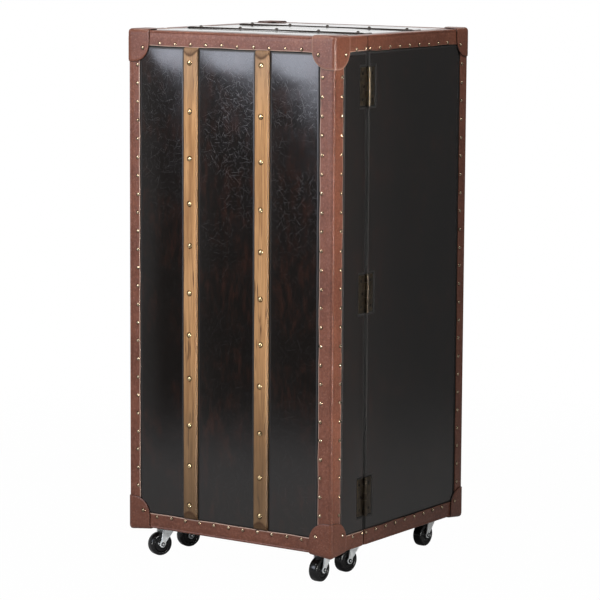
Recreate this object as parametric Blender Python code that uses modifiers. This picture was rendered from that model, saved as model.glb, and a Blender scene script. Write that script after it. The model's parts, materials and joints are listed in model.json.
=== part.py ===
"""Upright bar trunk on casters: a leather-bound plywood case whose shallow front is a door.

Metres, +Z up.  The origin is on the floor under the middle of the overall box.  The door is on the -Y
side and turns about a vertical axis on the +X side.  Boards are lapped boxes, the leather bindings and
corner caps are shells over their edges, and six swivel casters carry the case.
"""

from math import acos, asin, atan2, cos, hypot, pi, radians, sin

import bmesh
import bpy
from mathutils import Matrix, Vector

# Case, measured over its leather bindings
TRUNK_WIDTH = 0.550
TRUNK_DEPTH = 0.550
TRUNK_HEIGHT = 1.128
DOOR_DEPTH = 0.132
DOOR_GAP = 0.001
BOARD = 0.015
FIT = 0.0003  # clearance between pieces that lie face to face

# Leather bindings on the edges
BAND_WIDE = 0.034  # along the top and bottom edges
HINGE_BAND_WIDE = 0.036  # up the door's edge on the hinge side
UPRIGHT_BAND_WIDE = 0.029  # up the other edges
BAND_THICK = 0.0025
BAND_ROUND = 0.005
BAND_ROUND_STEPS = 3

# Leather corner caps over the bindings
FRONT_CAP_WIDE = 0.057
FRONT_CAP_TALL = 0.070
REAR_CAP_WIDE = 0.050
REAR_CAP_TALL = 0.063
CAP_THICK = 0.003
CAP_CORNER = 0.042  # radius of a lobe's free corner
CAP_CORNER_STEPS = 6

# Wooden slats nailed on the door and on the top
SLAT_WIDE = 0.036
SLAT_THICK = 0.009
TOP_SLAT_THICK = 0.0055
SLAT_END_THICK = 0.004
SLAT_SLOPE = 0.014  # length of the sloped end
SLAT_BEVEL = 0.003
FRONT_SLATS_FROM_LEFT = (0.172, 0.364)
TOP_SLATS_FROM_SPLIT = (0.055, 0.258)

# Butt hinges over the split between door and body
HINGE_TALL = 0.083
HINGE_FROM_END = 0.1105  # middle of the end hinges from the case's top and bottom
LEAF_WIDE = 0.028  # from the pin's axis to the leaf's edge
LEAF_THICK = 0.002
LEAF_CLEARANCE = 0.0008  # between a leaf and the other leaf's knuckles
KNUCKLE_RADIUS = 0.005
KNUCKLES = 5
KNUCKLE_STEPS = 12
PIN_RADIUS = 0.0024
PIN_PLAY = 0.0003
PIN_HEAD_RADIUS = 0.0040
PIN_HEAD_TALL = 0.0025

# Swivel casters
CASTER_EDGE = 0.002  # from the binding's inner edge to the mounting plate
CASTER_FROM_SPLIT = 0.014  # from the body's front edge to the mounting plate
PLATE_SIDE = 0.044
PLATE_THICK = 0.0025
PLATE_CORNER = 0.006
RACE_RADIUS = 0.015
RACE_TALL = 0.007
KINGPIN_RADIUS = 0.004
KINGPIN_HEAD_RADIUS = 0.007
KINGPIN_HEAD_TALL = 0.0015
CROWN_RADIUS = 0.018
CROWN_THICK = 0.003
LEG_THICK = 0.0022
LEG_TOP_WIDE = 0.030
LEG_FOOT_RADIUS = 0.0075
LEG_FOOT_STEPS = 8
LEG_CLEARANCE = 0.0012
TRAIL = 0.016
AXLE_RADIUS = 0.003
AXLE_HEAD_RADIUS = 0.0048
AXLE_HEAD_TALL = 0.0025
AXLE_STEPS = 12
WHEEL_RADIUS = 0.0272
WHEEL_WIDE = 0.022
WHEEL_SHOULDER = 0.003
WHEEL_CLEARANCE = 0.0056  # over the wheel, under the kingpin's head
HUB_RADIUS = 0.009
HUB_STEP = 0.0008
WHEEL_STEPS = 24
TURNED_STEPS = 20
# Direction each caster trails in, as its wheel's turn from facing straight forward
CASTER_TURNS = {
    "door_left": 66,
    "door_right": 88,
    "body_front_left": 66,
    "body_front_right": 77,
    "body_rear_left": 62,
    "body_rear_right": 88,
}

# Bar fittings inside
SHELF_THICK = 0.015
SHELF_SETBACK = 0.018  # from the body's front edge
BIN_TALL = 0.300  # clear height under the lower shelf
BOTTLE_BAY_TALL = 0.360  # clear height between the shelves
DIVIDER_THICK = 0.012
DIVIDERS = ("left", "right")
RACK_DROP = 0.035  # from the top panel down to the stemware rack
RACK_THICK = 0.012
RACK_SETBACK = 0.040
GLASS_SLOTS = 4
GLASS_SLOT_WIDE = 0.024
GLASS_SLOT_LONG = 0.270
GLASS_SLOT_END_STEPS = 6
DOOR_SHELF_THICK = 0.010
DOOR_SHELF_HEIGHTS = {"lower": 0.240, "upper": 0.660}  # over the case's underside
GUARD_TALL = 0.055
GUARD_THICK = 0.010
GUARD_SETBACK = 0.002

# Magnetic catch under the top panel, on the side away from the hinges
CATCH_LONG = 0.040
CATCH_DEEP = 0.020
CATCH_TALL = 0.014
CATCH_FROM_SIDE = 0.060
STRIKE_THICK = 0.0015
STRIKE_TALL = 0.012
STRIKE_FOOT = 0.018

# Levels and faces that follow from the sizes above
SKIN = BAND_THICK + FIT  # the boards lie this far inside the bindings' faces
CAP_RISE = CAP_THICK + FIT
SLAT_PROUD = SLAT_THICK + FIT - SKIN
HINGE_PROUD = FIT + 2 * KNUCKLE_RADIUS - SKIN
LEFT = CAP_RISE - (TRUNK_WIDTH + CAP_RISE + HINGE_PROUD) / 2
RIGHT = LEFT + TRUNK_WIDTH
FRONT = SLAT_PROUD - (TRUNK_DEPTH + SLAT_PROUD + CAP_RISE) / 2
BACK = FRONT + TRUNK_DEPTH
AXLE_HEIGHT = WHEEL_RADIUS * cos(pi / WHEEL_STEPS)  # a wheel stands on one of its flats
KINGPIN_HEAD_TOP = AXLE_HEIGHT + WHEEL_RADIUS + WHEEL_CLEARANCE + KINGPIN_HEAD_TALL
CROWN_BOTTOM = KINGPIN_HEAD_TOP + FIT
CROWN_TOP = CROWN_BOTTOM + CROWN_THICK
RACE_BOTTOM = CROWN_TOP + FIT
RACE_TOP = RACE_BOTTOM + RACE_TALL
CASTER_HEIGHT = RACE_TOP + PLATE_THICK
BOTTOM = CASTER_HEIGHT - BAND_THICK
TOP = BOTTOM + TRUNK_HEIGHT
SPLIT = FRONT + DOOR_DEPTH
DOOR_EDGE = SPLIT - DOOR_GAP / 2
BODY_EDGE = SPLIT + DOOR_GAP / 2
BOARD_LEFT, BOARD_RIGHT = LEFT + SKIN, RIGHT - SKIN
BOARD_FRONT, BOARD_BACK = FRONT + SKIN, BACK - SKIN
BOARD_BOTTOM, BOARD_TOP = BOTTOM + SKIN, TOP - SKIN
INNER_LEFT, INNER_RIGHT = BOARD_LEFT + BOARD, BOARD_RIGHT - BOARD
INNER_FRONT, INNER_BACK = BOARD_FRONT + BOARD, BOARD_BACK - BOARD
INNER_BOTTOM, INNER_TOP = BOARD_BOTTOM + BOARD, BOARD_TOP - BOARD
HINGE_AXIS = Vector((BOARD_RIGHT + FIT + KNUCKLE_RADIUS, SPLIT, 0))
BEYOND = 4 * BAND_THICK  # how far a cutter runs past what it cuts
WELD = FIT / 30  # points closer than this are one
SMOOTH_ANGLE = radians(35)

for leftover in list(bpy.data.objects):
    bpy.data.objects.remove(leftover)

parts = bpy.data.collections.new("bar_trunk")
workbench = bpy.data.collections.new("workbench")
bpy.context.scene.collection.children.link(parts)
bpy.context.scene.collection.children.link(workbench)


def finish(name, colour, roughness, metallic=0.0):
    """A plain Principled material."""
    material = bpy.data.materials.new(name)
    material.use_nodes = True
    shader = material.node_tree.nodes["Principled BSDF"]
    shader.inputs["Base Color"].default_value = (*colour, 1.0)
    shader.inputs["Roughness"].default_value = roughness
    shader.inputs["Metallic"].default_value = metallic
    return material


BLACK_LEATHER = finish("black_leather", (0.018, 0.014, 0.012), 0.34)
BROWN_LEATHER = finish("brown_leather", (0.190, 0.070, 0.045), 0.55)
SLAT_WOOD = finish("slat_wood", (0.430, 0.240, 0.110), 0.50)
DARK_SLAT_WOOD = finish("dark_slat_wood", (0.030, 0.023, 0.019), 0.40)
INSIDE_WOOD = finish("inside_wood", (0.160, 0.075, 0.035), 0.50)
BRONZE = finish("bronze", (0.075, 0.060, 0.045), 0.45, 1.0)
STEEL = finish("zinc_steel", (0.580, 0.600, 0.610), 0.38, 1.0)
BLACK_TYRE = finish("black_tyre", (0.012, 0.012, 0.013), 0.35)
MAGNET = finish("magnet_housing", (0.060, 0.055, 0.050), 0.50)


def pivot(name, at, turn=0.0, parent=None):
    """An empty that carries the pieces which move together."""
    empty = bpy.data.objects.new(name, None)
    empty.location = at
    empty.rotation_euler.z = turn
    empty.parent = parent
    parts.objects.link(empty)
    return empty


body = pivot("trunk_body", (0, 0, 0))
door = pivot("trunk_door", HINGE_AXIS)


def add_part(name, mesh, material, parent, at=(0, 0, 0)):
    """One named piece, placed in its parent's frame and shaded smooth up to its sharp edges."""
    part = bpy.data.objects.new(name, mesh)
    part.parent = parent
    part.location = at
    mesh.materials.clear()
    mesh.materials.append(material)
    mesh.shade_smooth()
    mesh.set_sharp_from_angle(angle=SMOOTH_ANGLE)
    parts.objects.link(part)
    return part


def add_fixed(name, mesh, material, parent):
    """A piece whose mesh is drawn in world positions: its origin goes to its parent's origin."""
    mesh.transform(Matrix.Translation(-parent.location))
    return add_part(name, mesh, material, parent)


def baked(source):
    """The mesh of a working object with its modifiers, or of a curve, with the object removed."""
    workbench.objects.link(source)
    depsgraph = bpy.context.evaluated_depsgraph_get()
    mesh = bpy.data.meshes.new_from_object(source.evaluated_get(depsgraph))
    bpy.data.objects.remove(source)
    return mesh


def boolean(mesh, operation, *tools):
    """The mesh after each tool mesh is cut from it, or joined to it, in turn."""
    work = bpy.data.objects.new("work", mesh)
    helpers = []
    for tool in tools:
        helper = bpy.data.objects.new("tool", tool)
        helper.hide_render = True
        helper.display_type = "WIRE"
        workbench.objects.link(helper)
        modifier = work.modifiers.new(operation.lower(), "BOOLEAN")
        modifier.operation = operation
        modifier.object = helper
        helpers.append(helper)
    result = baked(work)
    for helper in helpers:
        bpy.data.objects.remove(helper)
    return result


def box(low, high, radius=0.0, flat_planes=(), steps=BAND_ROUND_STEPS):
    """A box between two corners, its edges rounded except those on a flat plane (axis, position)."""
    low, high = Vector(map(min, low, high)), Vector(map(max, low, high))
    shape = bmesh.new()
    bmesh.ops.create_cube(shape, size=1.0)
    bmesh.ops.scale(shape, vec=high - low, verts=shape.verts)
    bmesh.ops.translate(shape, vec=(low + high) / 2, verts=shape.verts)
    if radius:
        rounded = [
            edge for edge in shape.edges
            if not any(
                all(abs(vert.co[axis] - position) < WELD for vert in edge.verts)
                for axis, position in flat_planes
            )
        ]
        bmesh.ops.bevel(shape, geom=rounded, offset=radius, segments=steps, profile=0.5, affect="EDGES")
    return to_mesh(shape)


def to_mesh(shape):
    """Close a bmesh into a new mesh."""
    mesh = bpy.data.meshes.new("shape")
    shape.to_mesh(mesh)
    shape.free()
    return mesh


def cylinder(radius, low, high, steps=TURNED_STEPS):
    """An upright cylinder between two points on its axis."""
    low, high = Vector(low), Vector(high)
    shape = bmesh.new()
    tall = (high - low).length
    bmesh.ops.create_cone(
        shape, cap_ends=True, segments=steps, radius1=radius, radius2=radius, depth=tall
    )
    bmesh.ops.translate(shape, vec=(low + high) / 2, verts=shape.verts)
    return to_mesh(shape)


def turned(profile, steps=TURNED_STEPS, ring=False):
    """A profile of (radius, height) points, running down its outer side, turned about Z."""
    mesh = bpy.data.meshes.new("profile")
    edges = [(i, i + 1) for i in range(len(profile) - 1)]
    if ring:
        edges.append((len(profile) - 1, 0))
    mesh.from_pydata([(radius, 0, height) for radius, height in profile], edges, [])
    work = bpy.data.objects.new("turning", mesh)
    screw = work.modifiers.new("turn", "SCREW")
    screw.steps = steps
    screw.render_steps = steps
    screw.use_merge_vertices = True
    screw.merge_threshold = WELD
    return baked(work)


def outline(points, thickness, frame=Matrix.Identity(4)):
    """A flat outline in XY, thickened evenly to both sides of it, then put in a frame."""
    curve = bpy.data.curves.new("outline", "CURVE")
    curve.dimensions = "2D"
    curve.fill_mode = "BOTH"
    curve.extrude = thickness / 2
    spline = curve.splines.new("POLY")
    spline.points.add(len(points) - 1)
    for point, (x, y) in zip(spline.points, points):
        point.co = (x, y, 0, 1)
    spline.use_cyclic_u = True
    shape = bmesh.new()
    shape.from_mesh(baked(bpy.data.objects.new("outline", curve)))
    bmesh.ops.remove_doubles(shape, verts=shape.verts, dist=WELD)
    bmesh.ops.transform(shape, matrix=frame, verts=shape.verts)
    bmesh.ops.recalc_face_normals(shape, faces=shape.faces)
    return to_mesh(shape)


def axes_frame(x, y, z, at):
    """The frame whose X, Y and Z run along the given directions."""
    frame = Matrix((x, y, z)).transposed().to_4x4()
    frame.translation = at
    return frame


def arc(centre, radius, start, end, steps):
    """Points on a circle from one angle to another, both included."""
    angles = [start + (end - start) * i / steps for i in range(steps + 1)]
    return [(centre[0] + radius * cos(a), centre[1] + radius * sin(a)) for a in angles]


def joined(meshes):
    """Several bodies in one mesh."""
    shape = bmesh.new()
    for mesh in meshes:
        shape.from_mesh(mesh)
    return to_mesh(shape)


# Boards of the body: full sides, with top, floor and back between them
def board(name, low, high, material, parent):
    """A plain board with its origin at its middle."""
    middle = (Vector(low) + Vector(high)) / 2
    shape = box(Vector(low) - middle, Vector(high) - middle)
    add_part(name, shape, material, parent, middle - parent.location)


board("body_left_panel", (BOARD_LEFT, BODY_EDGE, BOARD_BOTTOM), (INNER_LEFT, BOARD_BACK, BOARD_TOP),
      BLACK_LEATHER, body)
board("body_right_panel", (INNER_RIGHT, BODY_EDGE, BOARD_BOTTOM), (BOARD_RIGHT, BOARD_BACK, BOARD_TOP),
      BLACK_LEATHER, body)
board("body_top_panel", (INNER_LEFT + FIT, BODY_EDGE, INNER_TOP), (INNER_RIGHT - FIT, BOARD_BACK, BOARD_TOP),
      BLACK_LEATHER, body)
board("body_floor_panel", (INNER_LEFT + FIT, BODY_EDGE, BOARD_BOTTOM),
      (INNER_RIGHT - FIT, BOARD_BACK, INNER_BOTTOM), BLACK_LEATHER, body)
board("body_back_panel", (INNER_LEFT + FIT, INNER_BACK, INNER_BOTTOM + FIT),
      (INNER_RIGHT - FIT, BOARD_BACK, INNER_TOP - FIT), BLACK_LEATHER, body)

# Boards of the door: a full front, with a shallow rim behind it
RIM_FRONT = INNER_FRONT + FIT
board("door_front_panel", (BOARD_LEFT, BOARD_FRONT, BOARD_BOTTOM), (BOARD_RIGHT, INNER_FRONT, BOARD_TOP),
      BLACK_LEATHER, door)
board("door_left_panel", (BOARD_LEFT, RIM_FRONT, BOARD_BOTTOM), (INNER_LEFT, DOOR_EDGE, BOARD_TOP),
      BLACK_LEATHER, door)
board("door_right_panel", (INNER_RIGHT, RIM_FRONT, BOARD_BOTTOM), (BOARD_RIGHT, DOOR_EDGE, BOARD_TOP),
      BLACK_LEATHER, door)
board("door_top_panel", (INNER_LEFT + FIT, RIM_FRONT, INNER_TOP), (INNER_RIGHT - FIT, DOOR_EDGE, BOARD_TOP),
      BLACK_LEATHER, door)
board("door_floor_panel", (INNER_LEFT + FIT, RIM_FRONT, BOARD_BOTTOM),
      (INNER_RIGHT - FIT, DOOR_EDGE, INNER_BOTTOM), BLACK_LEATHER, door)


# Leather bindings: a rounded shell with a window in each face, open at the split
def binding(front, back, open_at, windows):
    """The shell of a half of the case, cut out inside, past its open side and at each window."""
    shell = box((LEFT, front, BOTTOM), (RIGHT, back, TOP), BAND_ROUND, [(1, open_at)])
    past_front = front - BEYOND if open_at == front else front + BAND_THICK
    past_back = back + BEYOND if open_at == back else back - BAND_THICK
    hollow = box(
        (LEFT + BAND_THICK, past_front, BOTTOM + BAND_THICK),
        (RIGHT - BAND_THICK, past_back, TOP - BAND_THICK),
    )
    return boolean(shell, "DIFFERENCE", hollow, *windows)


SIDE_WINDOW_LOW, SIDE_WINDOW_HIGH = BOTTOM + BAND_WIDE, TOP - BAND_WIDE
door_windows = [
    box((LEFT + UPRIGHT_BAND_WIDE, FRONT - BEYOND, SIDE_WINDOW_LOW),
        (RIGHT - HINGE_BAND_WIDE, FRONT + BEYOND, SIDE_WINDOW_HIGH)),
    box((LEFT - BEYOND, FRONT + UPRIGHT_BAND_WIDE, SIDE_WINDOW_LOW),
        (LEFT + BEYOND, DOOR_EDGE + BEYOND, SIDE_WINDOW_HIGH)),
    box((RIGHT - BEYOND, FRONT + HINGE_BAND_WIDE, SIDE_WINDOW_LOW),
        (RIGHT + BEYOND, DOOR_EDGE + BEYOND, SIDE_WINDOW_HIGH)),
    box((LEFT + BAND_WIDE, FRONT + BAND_WIDE, BOTTOM - BEYOND),
        (RIGHT - BAND_WIDE, DOOR_EDGE + BEYOND, TOP + BEYOND)),
]
body_windows = [
    box((LEFT + UPRIGHT_BAND_WIDE, BACK - BEYOND, SIDE_WINDOW_LOW),
        (RIGHT - UPRIGHT_BAND_WIDE, BACK + BEYOND, SIDE_WINDOW_HIGH)),
    box((LEFT - BEYOND, BODY_EDGE - BEYOND, SIDE_WINDOW_LOW),
        (RIGHT + BEYOND, BACK - UPRIGHT_BAND_WIDE, SIDE_WINDOW_HIGH)),
    box((LEFT + BAND_WIDE, BODY_EDGE - BEYOND, BOTTOM - BEYOND),
        (RIGHT - BAND_WIDE, BACK - BAND_WIDE, TOP + BEYOND)),
]
add_fixed("door_edge_binding", binding(FRONT, DOOR_EDGE, DOOR_EDGE, door_windows), BROWN_LEATHER, door)
add_fixed("body_edge_binding", binding(BODY_EDGE, BACK, BODY_EDGE, body_windows), BROWN_LEATHER, body)


# Corner caps: a cup of three lobes over each corner, each lobe with one round corner
def lobe_trimmer(corner, inward, normal, lengths):
    """What is cut from a lobe's free corner to leave it round; normal is the lobe's axis."""
    first, second = [axis for axis in range(3) if axis != normal]
    radius = min(CAP_CORNER, min(lengths) - 2 * CAP_RISE)
    middle = (lengths[first] - radius, lengths[second] - radius)
    far = (lengths[first] + BEYOND, lengths[second] + BEYOND)
    points = [(far[0], middle[1])]
    points += arc(middle, radius, 0, pi / 2, CAP_CORNER_STEPS)
    points += [(middle[0], far[1]), far]
    ways = [Vector([inward[axis] * (axis == way) for axis in range(3)]) for way in (first, second, normal)]
    return outline(points, 2 * BEYOND, axes_frame(*ways, corner))


def corner_cap(corner, inward, lengths):
    """A cap over one corner; lengths are its reach along each axis from that corner."""
    ends = [corner[axis] + inward[axis] * lengths[axis] for axis in range(3)]
    beyond_ends = [ends[axis] + inward[axis] * BEYOND for axis in range(3)]
    outer = [corner[axis] - inward[axis] * CAP_RISE for axis in range(3)]
    inner = [corner[axis] - inward[axis] * FIT for axis in range(3)]
    cup = box(outer, ends, BAND_ROUND + CAP_RISE, list(enumerate(ends)))
    hollow = box(inner, beyond_ends, BAND_ROUND + FIT, list(enumerate(beyond_ends)))
    cutters = [hollow, lobe_trimmer(corner, inward, 0, lengths), lobe_trimmer(corner, inward, 1, lengths)]
    if inward.z < 0:
        cutters.append(lobe_trimmer(corner, inward, 2, lengths))
    else:
        # Under the case the lobe only follows the bindings, to leave room for a caster
        notch = [corner[axis] + inward[axis] * BAND_WIDE for axis in range(2)]
        cutters.append(box((*notch, corner[2] - BEYOND), (*beyond_ends[:2], corner[2] + BAND_THICK)))
    return boolean(cup, "DIFFERENCE", *cutters)


for end, y, way_y, wide, tall, holder in (
    ("front", FRONT, 1, FRONT_CAP_WIDE, FRONT_CAP_TALL, door),
    ("rear", BACK, -1, REAR_CAP_WIDE, REAR_CAP_TALL, body),
):
    for side, x, way_x in (("left", LEFT, 1), ("right", RIGHT, -1)):
        for level, z, way_z in (("bottom", BOTTOM, 1), ("top", TOP, -1)):
            cap = corner_cap(Vector((x, y, z)), Vector((way_x, way_y, way_z)), (wide, wide, tall))
            add_fixed(f"corner_cap_{end}_{side}_{level}", cap, BROWN_LEATHER, holder)


# Slats: wooden laths with sloped ends, pale ones on the door's front and dark ones across the body's top
def slat(length, thick):
    """A lath along X, its back at Y = 0, with its front edges eased."""
    half = length / 2
    shape = bmesh.new()
    shape.from_mesh(outline([
        (-half, 0), (half, 0), (half, SLAT_END_THICK), (half - SLAT_SLOPE, thick),
        (SLAT_SLOPE - half, thick), (-half, SLAT_END_THICK),
    ], SLAT_WIDE))
    bmesh.ops.dissolve_limit(shape, angle_limit=radians(1), verts=shape.verts, edges=shape.edges)
    front_edges = [
        edge for edge in shape.edges
        if all(vert.co.y > SLAT_END_THICK / 2 for vert in edge.verts)
        and abs(edge.verts[0].co.z - edge.verts[1].co.z) < FIT
    ]
    bmesh.ops.bevel(shape, geom=front_edges, offset=SLAT_BEVEL, segments=2, profile=0.5, affect="EDGES")
    return to_mesh(shape)


front_slat = slat(TRUNK_HEIGHT - 2 * (BAND_WIDE + FIT), SLAT_THICK)
front_slat.transform(axes_frame((0, 0, 1), (0, -1, 0), (1, 0, 0), (0, 0, 0)))
for side, from_left in zip(("left", "right"), FRONT_SLATS_FROM_LEFT):
    place = Vector((LEFT + from_left, BOARD_FRONT - FIT, (BOTTOM + TOP) / 2))
    add_part(f"front_slat_{side}", front_slat.copy(), SLAT_WOOD, door, place - door.location)

top_slat = slat(TRUNK_WIDTH - 2 * (BAND_WIDE + FIT), TOP_SLAT_THICK)
top_slat.transform(axes_frame((1, 0, 0), (0, 0, 1), (0, -1, 0), (0, 0, 0)))
for end, from_split in zip(("front", "rear"), TOP_SLATS_FROM_SPLIT):
    place = ((LEFT + RIGHT) / 2, SPLIT + from_split, BOARD_TOP + FIT)
    add_part(f"top_slat_{end}", top_slat.copy(), DARK_SLAT_WOOD, body, place)

# Butt hinges: two leaves with interleaved knuckles, and the pin through them
KNUCKLE_TALL = HINGE_TALL / KNUCKLES
LEAF_START = KNUCKLE_RADIUS + LEAF_CLEARANCE
WEB_REACH = LEAF_START + LEAF_THICK


def hinge_leaf(knuckles, way):
    """A leaf lying along Y to one side of its pin, whose axis is Z."""
    wrap = asin((LEAF_THICK - KNUCKLE_RADIUS) / KNUCKLE_RADIUS)
    profile = arc((0, KNUCKLE_RADIUS), KNUCKLE_RADIUS, wrap, 1.5 * pi, KNUCKLE_STEPS)
    profile += [(WEB_REACH, 0), (WEB_REACH, LEAF_THICK)]
    rolls = []
    for number in knuckles:
        middle = (number + 0.5) * KNUCKLE_TALL - HINGE_TALL / 2
        frame = axes_frame((0, way, 0), (1, 0, 0), (0, 0, 1), (-KNUCKLE_RADIUS, 0, middle))
        rolls.append(outline(profile, KNUCKLE_TALL - FIT, frame))
    plate = box(
        (-KNUCKLE_RADIUS, way * LEAF_START, -HINGE_TALL / 2),
        (LEAF_THICK - KNUCKLE_RADIUS, way * LEAF_WIDE, HINGE_TALL / 2),
    )
    leaf = boolean(plate, "UNION", joined(rolls))
    bore_end = HINGE_TALL / 2 + BEYOND
    bore = cylinder(PIN_RADIUS + PIN_PLAY, (0, 0, -bore_end), (0, 0, bore_end), KNUCKLE_STEPS)
    return boolean(leaf, "DIFFERENCE", bore)


door_leaf = hinge_leaf(range(1, KNUCKLES, 2), -1)
body_leaf = hinge_leaf(range(0, KNUCKLES, 2), 1)
pin_end = HINGE_TALL / 2 + FIT
pin = turned([
    (0, pin_end + PIN_HEAD_TALL), (PIN_RADIUS, pin_end + PIN_HEAD_TALL),
    (PIN_HEAD_RADIUS, pin_end + PIN_HEAD_TALL / 2), (PIN_HEAD_RADIUS, pin_end), (PIN_RADIUS, pin_end),
    (PIN_RADIUS, -pin_end), (PIN_HEAD_RADIUS, -pin_end), (PIN_HEAD_RADIUS, -pin_end - PIN_HEAD_TALL / 2),
    (PIN_RADIUS, -pin_end - PIN_HEAD_TALL), (0, -pin_end - PIN_HEAD_TALL),
], KNUCKLE_STEPS)
for level, z in (
    ("upper", TOP - HINGE_FROM_END),
    ("middle", (TOP + BOTTOM) / 2),
    ("lower", BOTTOM + HINGE_FROM_END),
):
    add_part(f"hinge_{level}_door_leaf", door_leaf, BRONZE, door, (0, 0, z))
    add_part(f"hinge_{level}_body_leaf", body_leaf, BRONZE, body, HINGE_AXIS + Vector((0, 0, z)))
    add_part(f"hinge_{level}_pin", pin, BRONZE, body, HINGE_AXIS + Vector((0, 0, z)))

# Casters: a plate with its race and kingpin, a fork that swivels under it, and a wheel on the fork's axle
LEG_INNER = WHEEL_WIDE / 2 + HUB_STEP + LEG_CLEARANCE
LEG_OUTER = LEG_INNER + LEG_THICK

race = turned([
    (0, RACE_TOP + PLATE_THICK / 2), (RACE_RADIUS, RACE_TOP + PLATE_THICK / 2),
    (RACE_RADIUS, RACE_BOTTOM), (KINGPIN_RADIUS, RACE_BOTTOM),
    (KINGPIN_RADIUS, KINGPIN_HEAD_TOP), (KINGPIN_HEAD_RADIUS, KINGPIN_HEAD_TOP),
    (KINGPIN_RADIUS, KINGPIN_HEAD_TOP - KINGPIN_HEAD_TALL), (0, KINGPIN_HEAD_TOP - KINGPIN_HEAD_TALL),
])
plate_half = PLATE_SIDE / 2
plate = box(
    (-plate_half, -plate_half, RACE_TOP), (plate_half, plate_half, CASTER_HEIGHT),
    PLATE_CORNER, [(2, RACE_TOP), (2, CASTER_HEIGHT)],
)
plate = boolean(plate, "UNION", race)


def leg_outline():
    """A fork leg from the side: a wide top that tapers to a round foot on the axle."""
    foot = (TRAIL, AXLE_HEIGHT)
    top = (CROWN_BOTTOM + CROWN_TOP) / 2
    trailing, leading = (LEG_TOP_WIDE / 2, top), (-LEG_TOP_WIDE / 2, top)

    def tangent(end, side):
        x, z = end[0] - foot[0], end[1] - foot[1]
        return atan2(z, x) + side * acos(LEG_FOOT_RADIUS / hypot(x, z))

    start, end = tangent(leading, 1), tangent(trailing, -1) + 2 * pi
    return [*arc(foot, LEG_FOOT_RADIUS, start, end, LEG_FOOT_STEPS), trailing, leading]


legs = joined([
    outline(leg_outline(), LEG_THICK, axes_frame((1, 0, 0), (0, 0, 1), (0, -1, 0), (0, y, 0)))
    for y in (-(LEG_INNER + LEG_OUTER) / 2, (LEG_INNER + LEG_OUTER) / 2)
])
axle_end = LEG_OUTER + AXLE_HEAD_TALL
axle = turned([
    (0, axle_end), (AXLE_HEAD_RADIUS, axle_end), (AXLE_HEAD_RADIUS, LEG_OUTER - LEG_THICK / 2),
    (AXLE_RADIUS, LEG_OUTER - LEG_THICK / 2), (AXLE_RADIUS, LEG_THICK / 2 - LEG_OUTER),
    (AXLE_HEAD_RADIUS, LEG_THICK / 2 - LEG_OUTER), (AXLE_HEAD_RADIUS, -axle_end), (0, -axle_end),
], AXLE_STEPS)
axle.transform(axes_frame((1, 0, 0), (0, 0, 1), (0, -1, 0), (TRAIL, 0, AXLE_HEIGHT)))
crown = cylinder(CROWN_RADIUS, (0, 0, CROWN_BOTTOM), (0, 0, CROWN_TOP))
kingpin_hole = cylinder(KINGPIN_RADIUS + PIN_PLAY, (0, 0, CROWN_BOTTOM - FIT), (0, 0, CROWN_TOP + FIT))
fork = boolean(boolean(crown, "DIFFERENCE", kingpin_hole), "UNION", legs, axle)

tread = WHEEL_WIDE / 2 - WHEEL_SHOULDER
hub_face = WHEEL_WIDE / 2 + HUB_STEP
wheel = turned([
    (AXLE_RADIUS + PIN_PLAY, hub_face), (HUB_RADIUS, hub_face), (HUB_RADIUS, WHEEL_WIDE / 2),
    (WHEEL_RADIUS - WHEEL_SHOULDER, WHEEL_WIDE / 2), (WHEEL_RADIUS, tread), (WHEEL_RADIUS, -tread),
    (WHEEL_RADIUS - WHEEL_SHOULDER, -WHEEL_WIDE / 2), (HUB_RADIUS, -WHEEL_WIDE / 2),
    (HUB_RADIUS, -hub_face), (AXLE_RADIUS + PIN_PLAY, -hub_face),
], WHEEL_STEPS, ring=True)
wheel.transform(Matrix.Rotation(pi / 2, 4, "X") @ Matrix.Rotation(pi / WHEEL_STEPS, 4, "Z"))

caster_inset = BAND_WIDE + CASTER_EDGE + PLATE_SIDE / 2
caster_rows = (
    ("door", FRONT + caster_inset, door),
    ("body_front", BODY_EDGE + CASTER_FROM_SPLIT + PLATE_SIDE / 2, body),
    ("body_rear", BACK - caster_inset, body),
)
for row, y, holder in caster_rows:
    for side, x in (("left", LEFT + caster_inset), ("right", RIGHT - caster_inset)):
        place = f"{row}_{side}"
        stand = Vector((x, y, 0)) - holder.location
        add_part(f"caster_{place}_plate", plate, STEEL, holder, stand)
        swivel = pivot(f"swivel_{place}", stand, pi + radians(CASTER_TURNS[place]), holder)
        add_part(f"caster_{place}_fork", fork, STEEL, swivel)
        add_part(f"caster_{place}_wheel", wheel, BLACK_TYRE, swivel, (TRAIL, 0, AXLE_HEIGHT))

# Shelves and bottle bins in the body
SHELF_LEFT, SHELF_RIGHT = INNER_LEFT + FIT, INNER_RIGHT - FIT
SHELF_FRONT, SHELF_BACK = BODY_EDGE + SHELF_SETBACK, INNER_BACK - FIT
LOWER_SHELF = INNER_BOTTOM + BIN_TALL
UPPER_SHELF = LOWER_SHELF + SHELF_THICK + BOTTLE_BAY_TALL
for level, z in (("lower", LOWER_SHELF), ("upper", UPPER_SHELF)):
    board(f"{level}_shelf", (SHELF_LEFT, SHELF_FRONT, z), (SHELF_RIGHT, SHELF_BACK, z + SHELF_THICK),
          INSIDE_WOOD, body)

bin_pitch = (INNER_RIGHT - INNER_LEFT) / (len(DIVIDERS) + 1)
for number, side in enumerate(DIVIDERS, start=1):
    x = INNER_LEFT + number * bin_pitch
    board(f"bottle_divider_{side}", (x - DIVIDER_THICK / 2, SHELF_FRONT, INNER_BOTTOM + FIT),
          (x + DIVIDER_THICK / 2, SHELF_BACK, LOWER_SHELF - FIT), INSIDE_WOOD, body)


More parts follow.
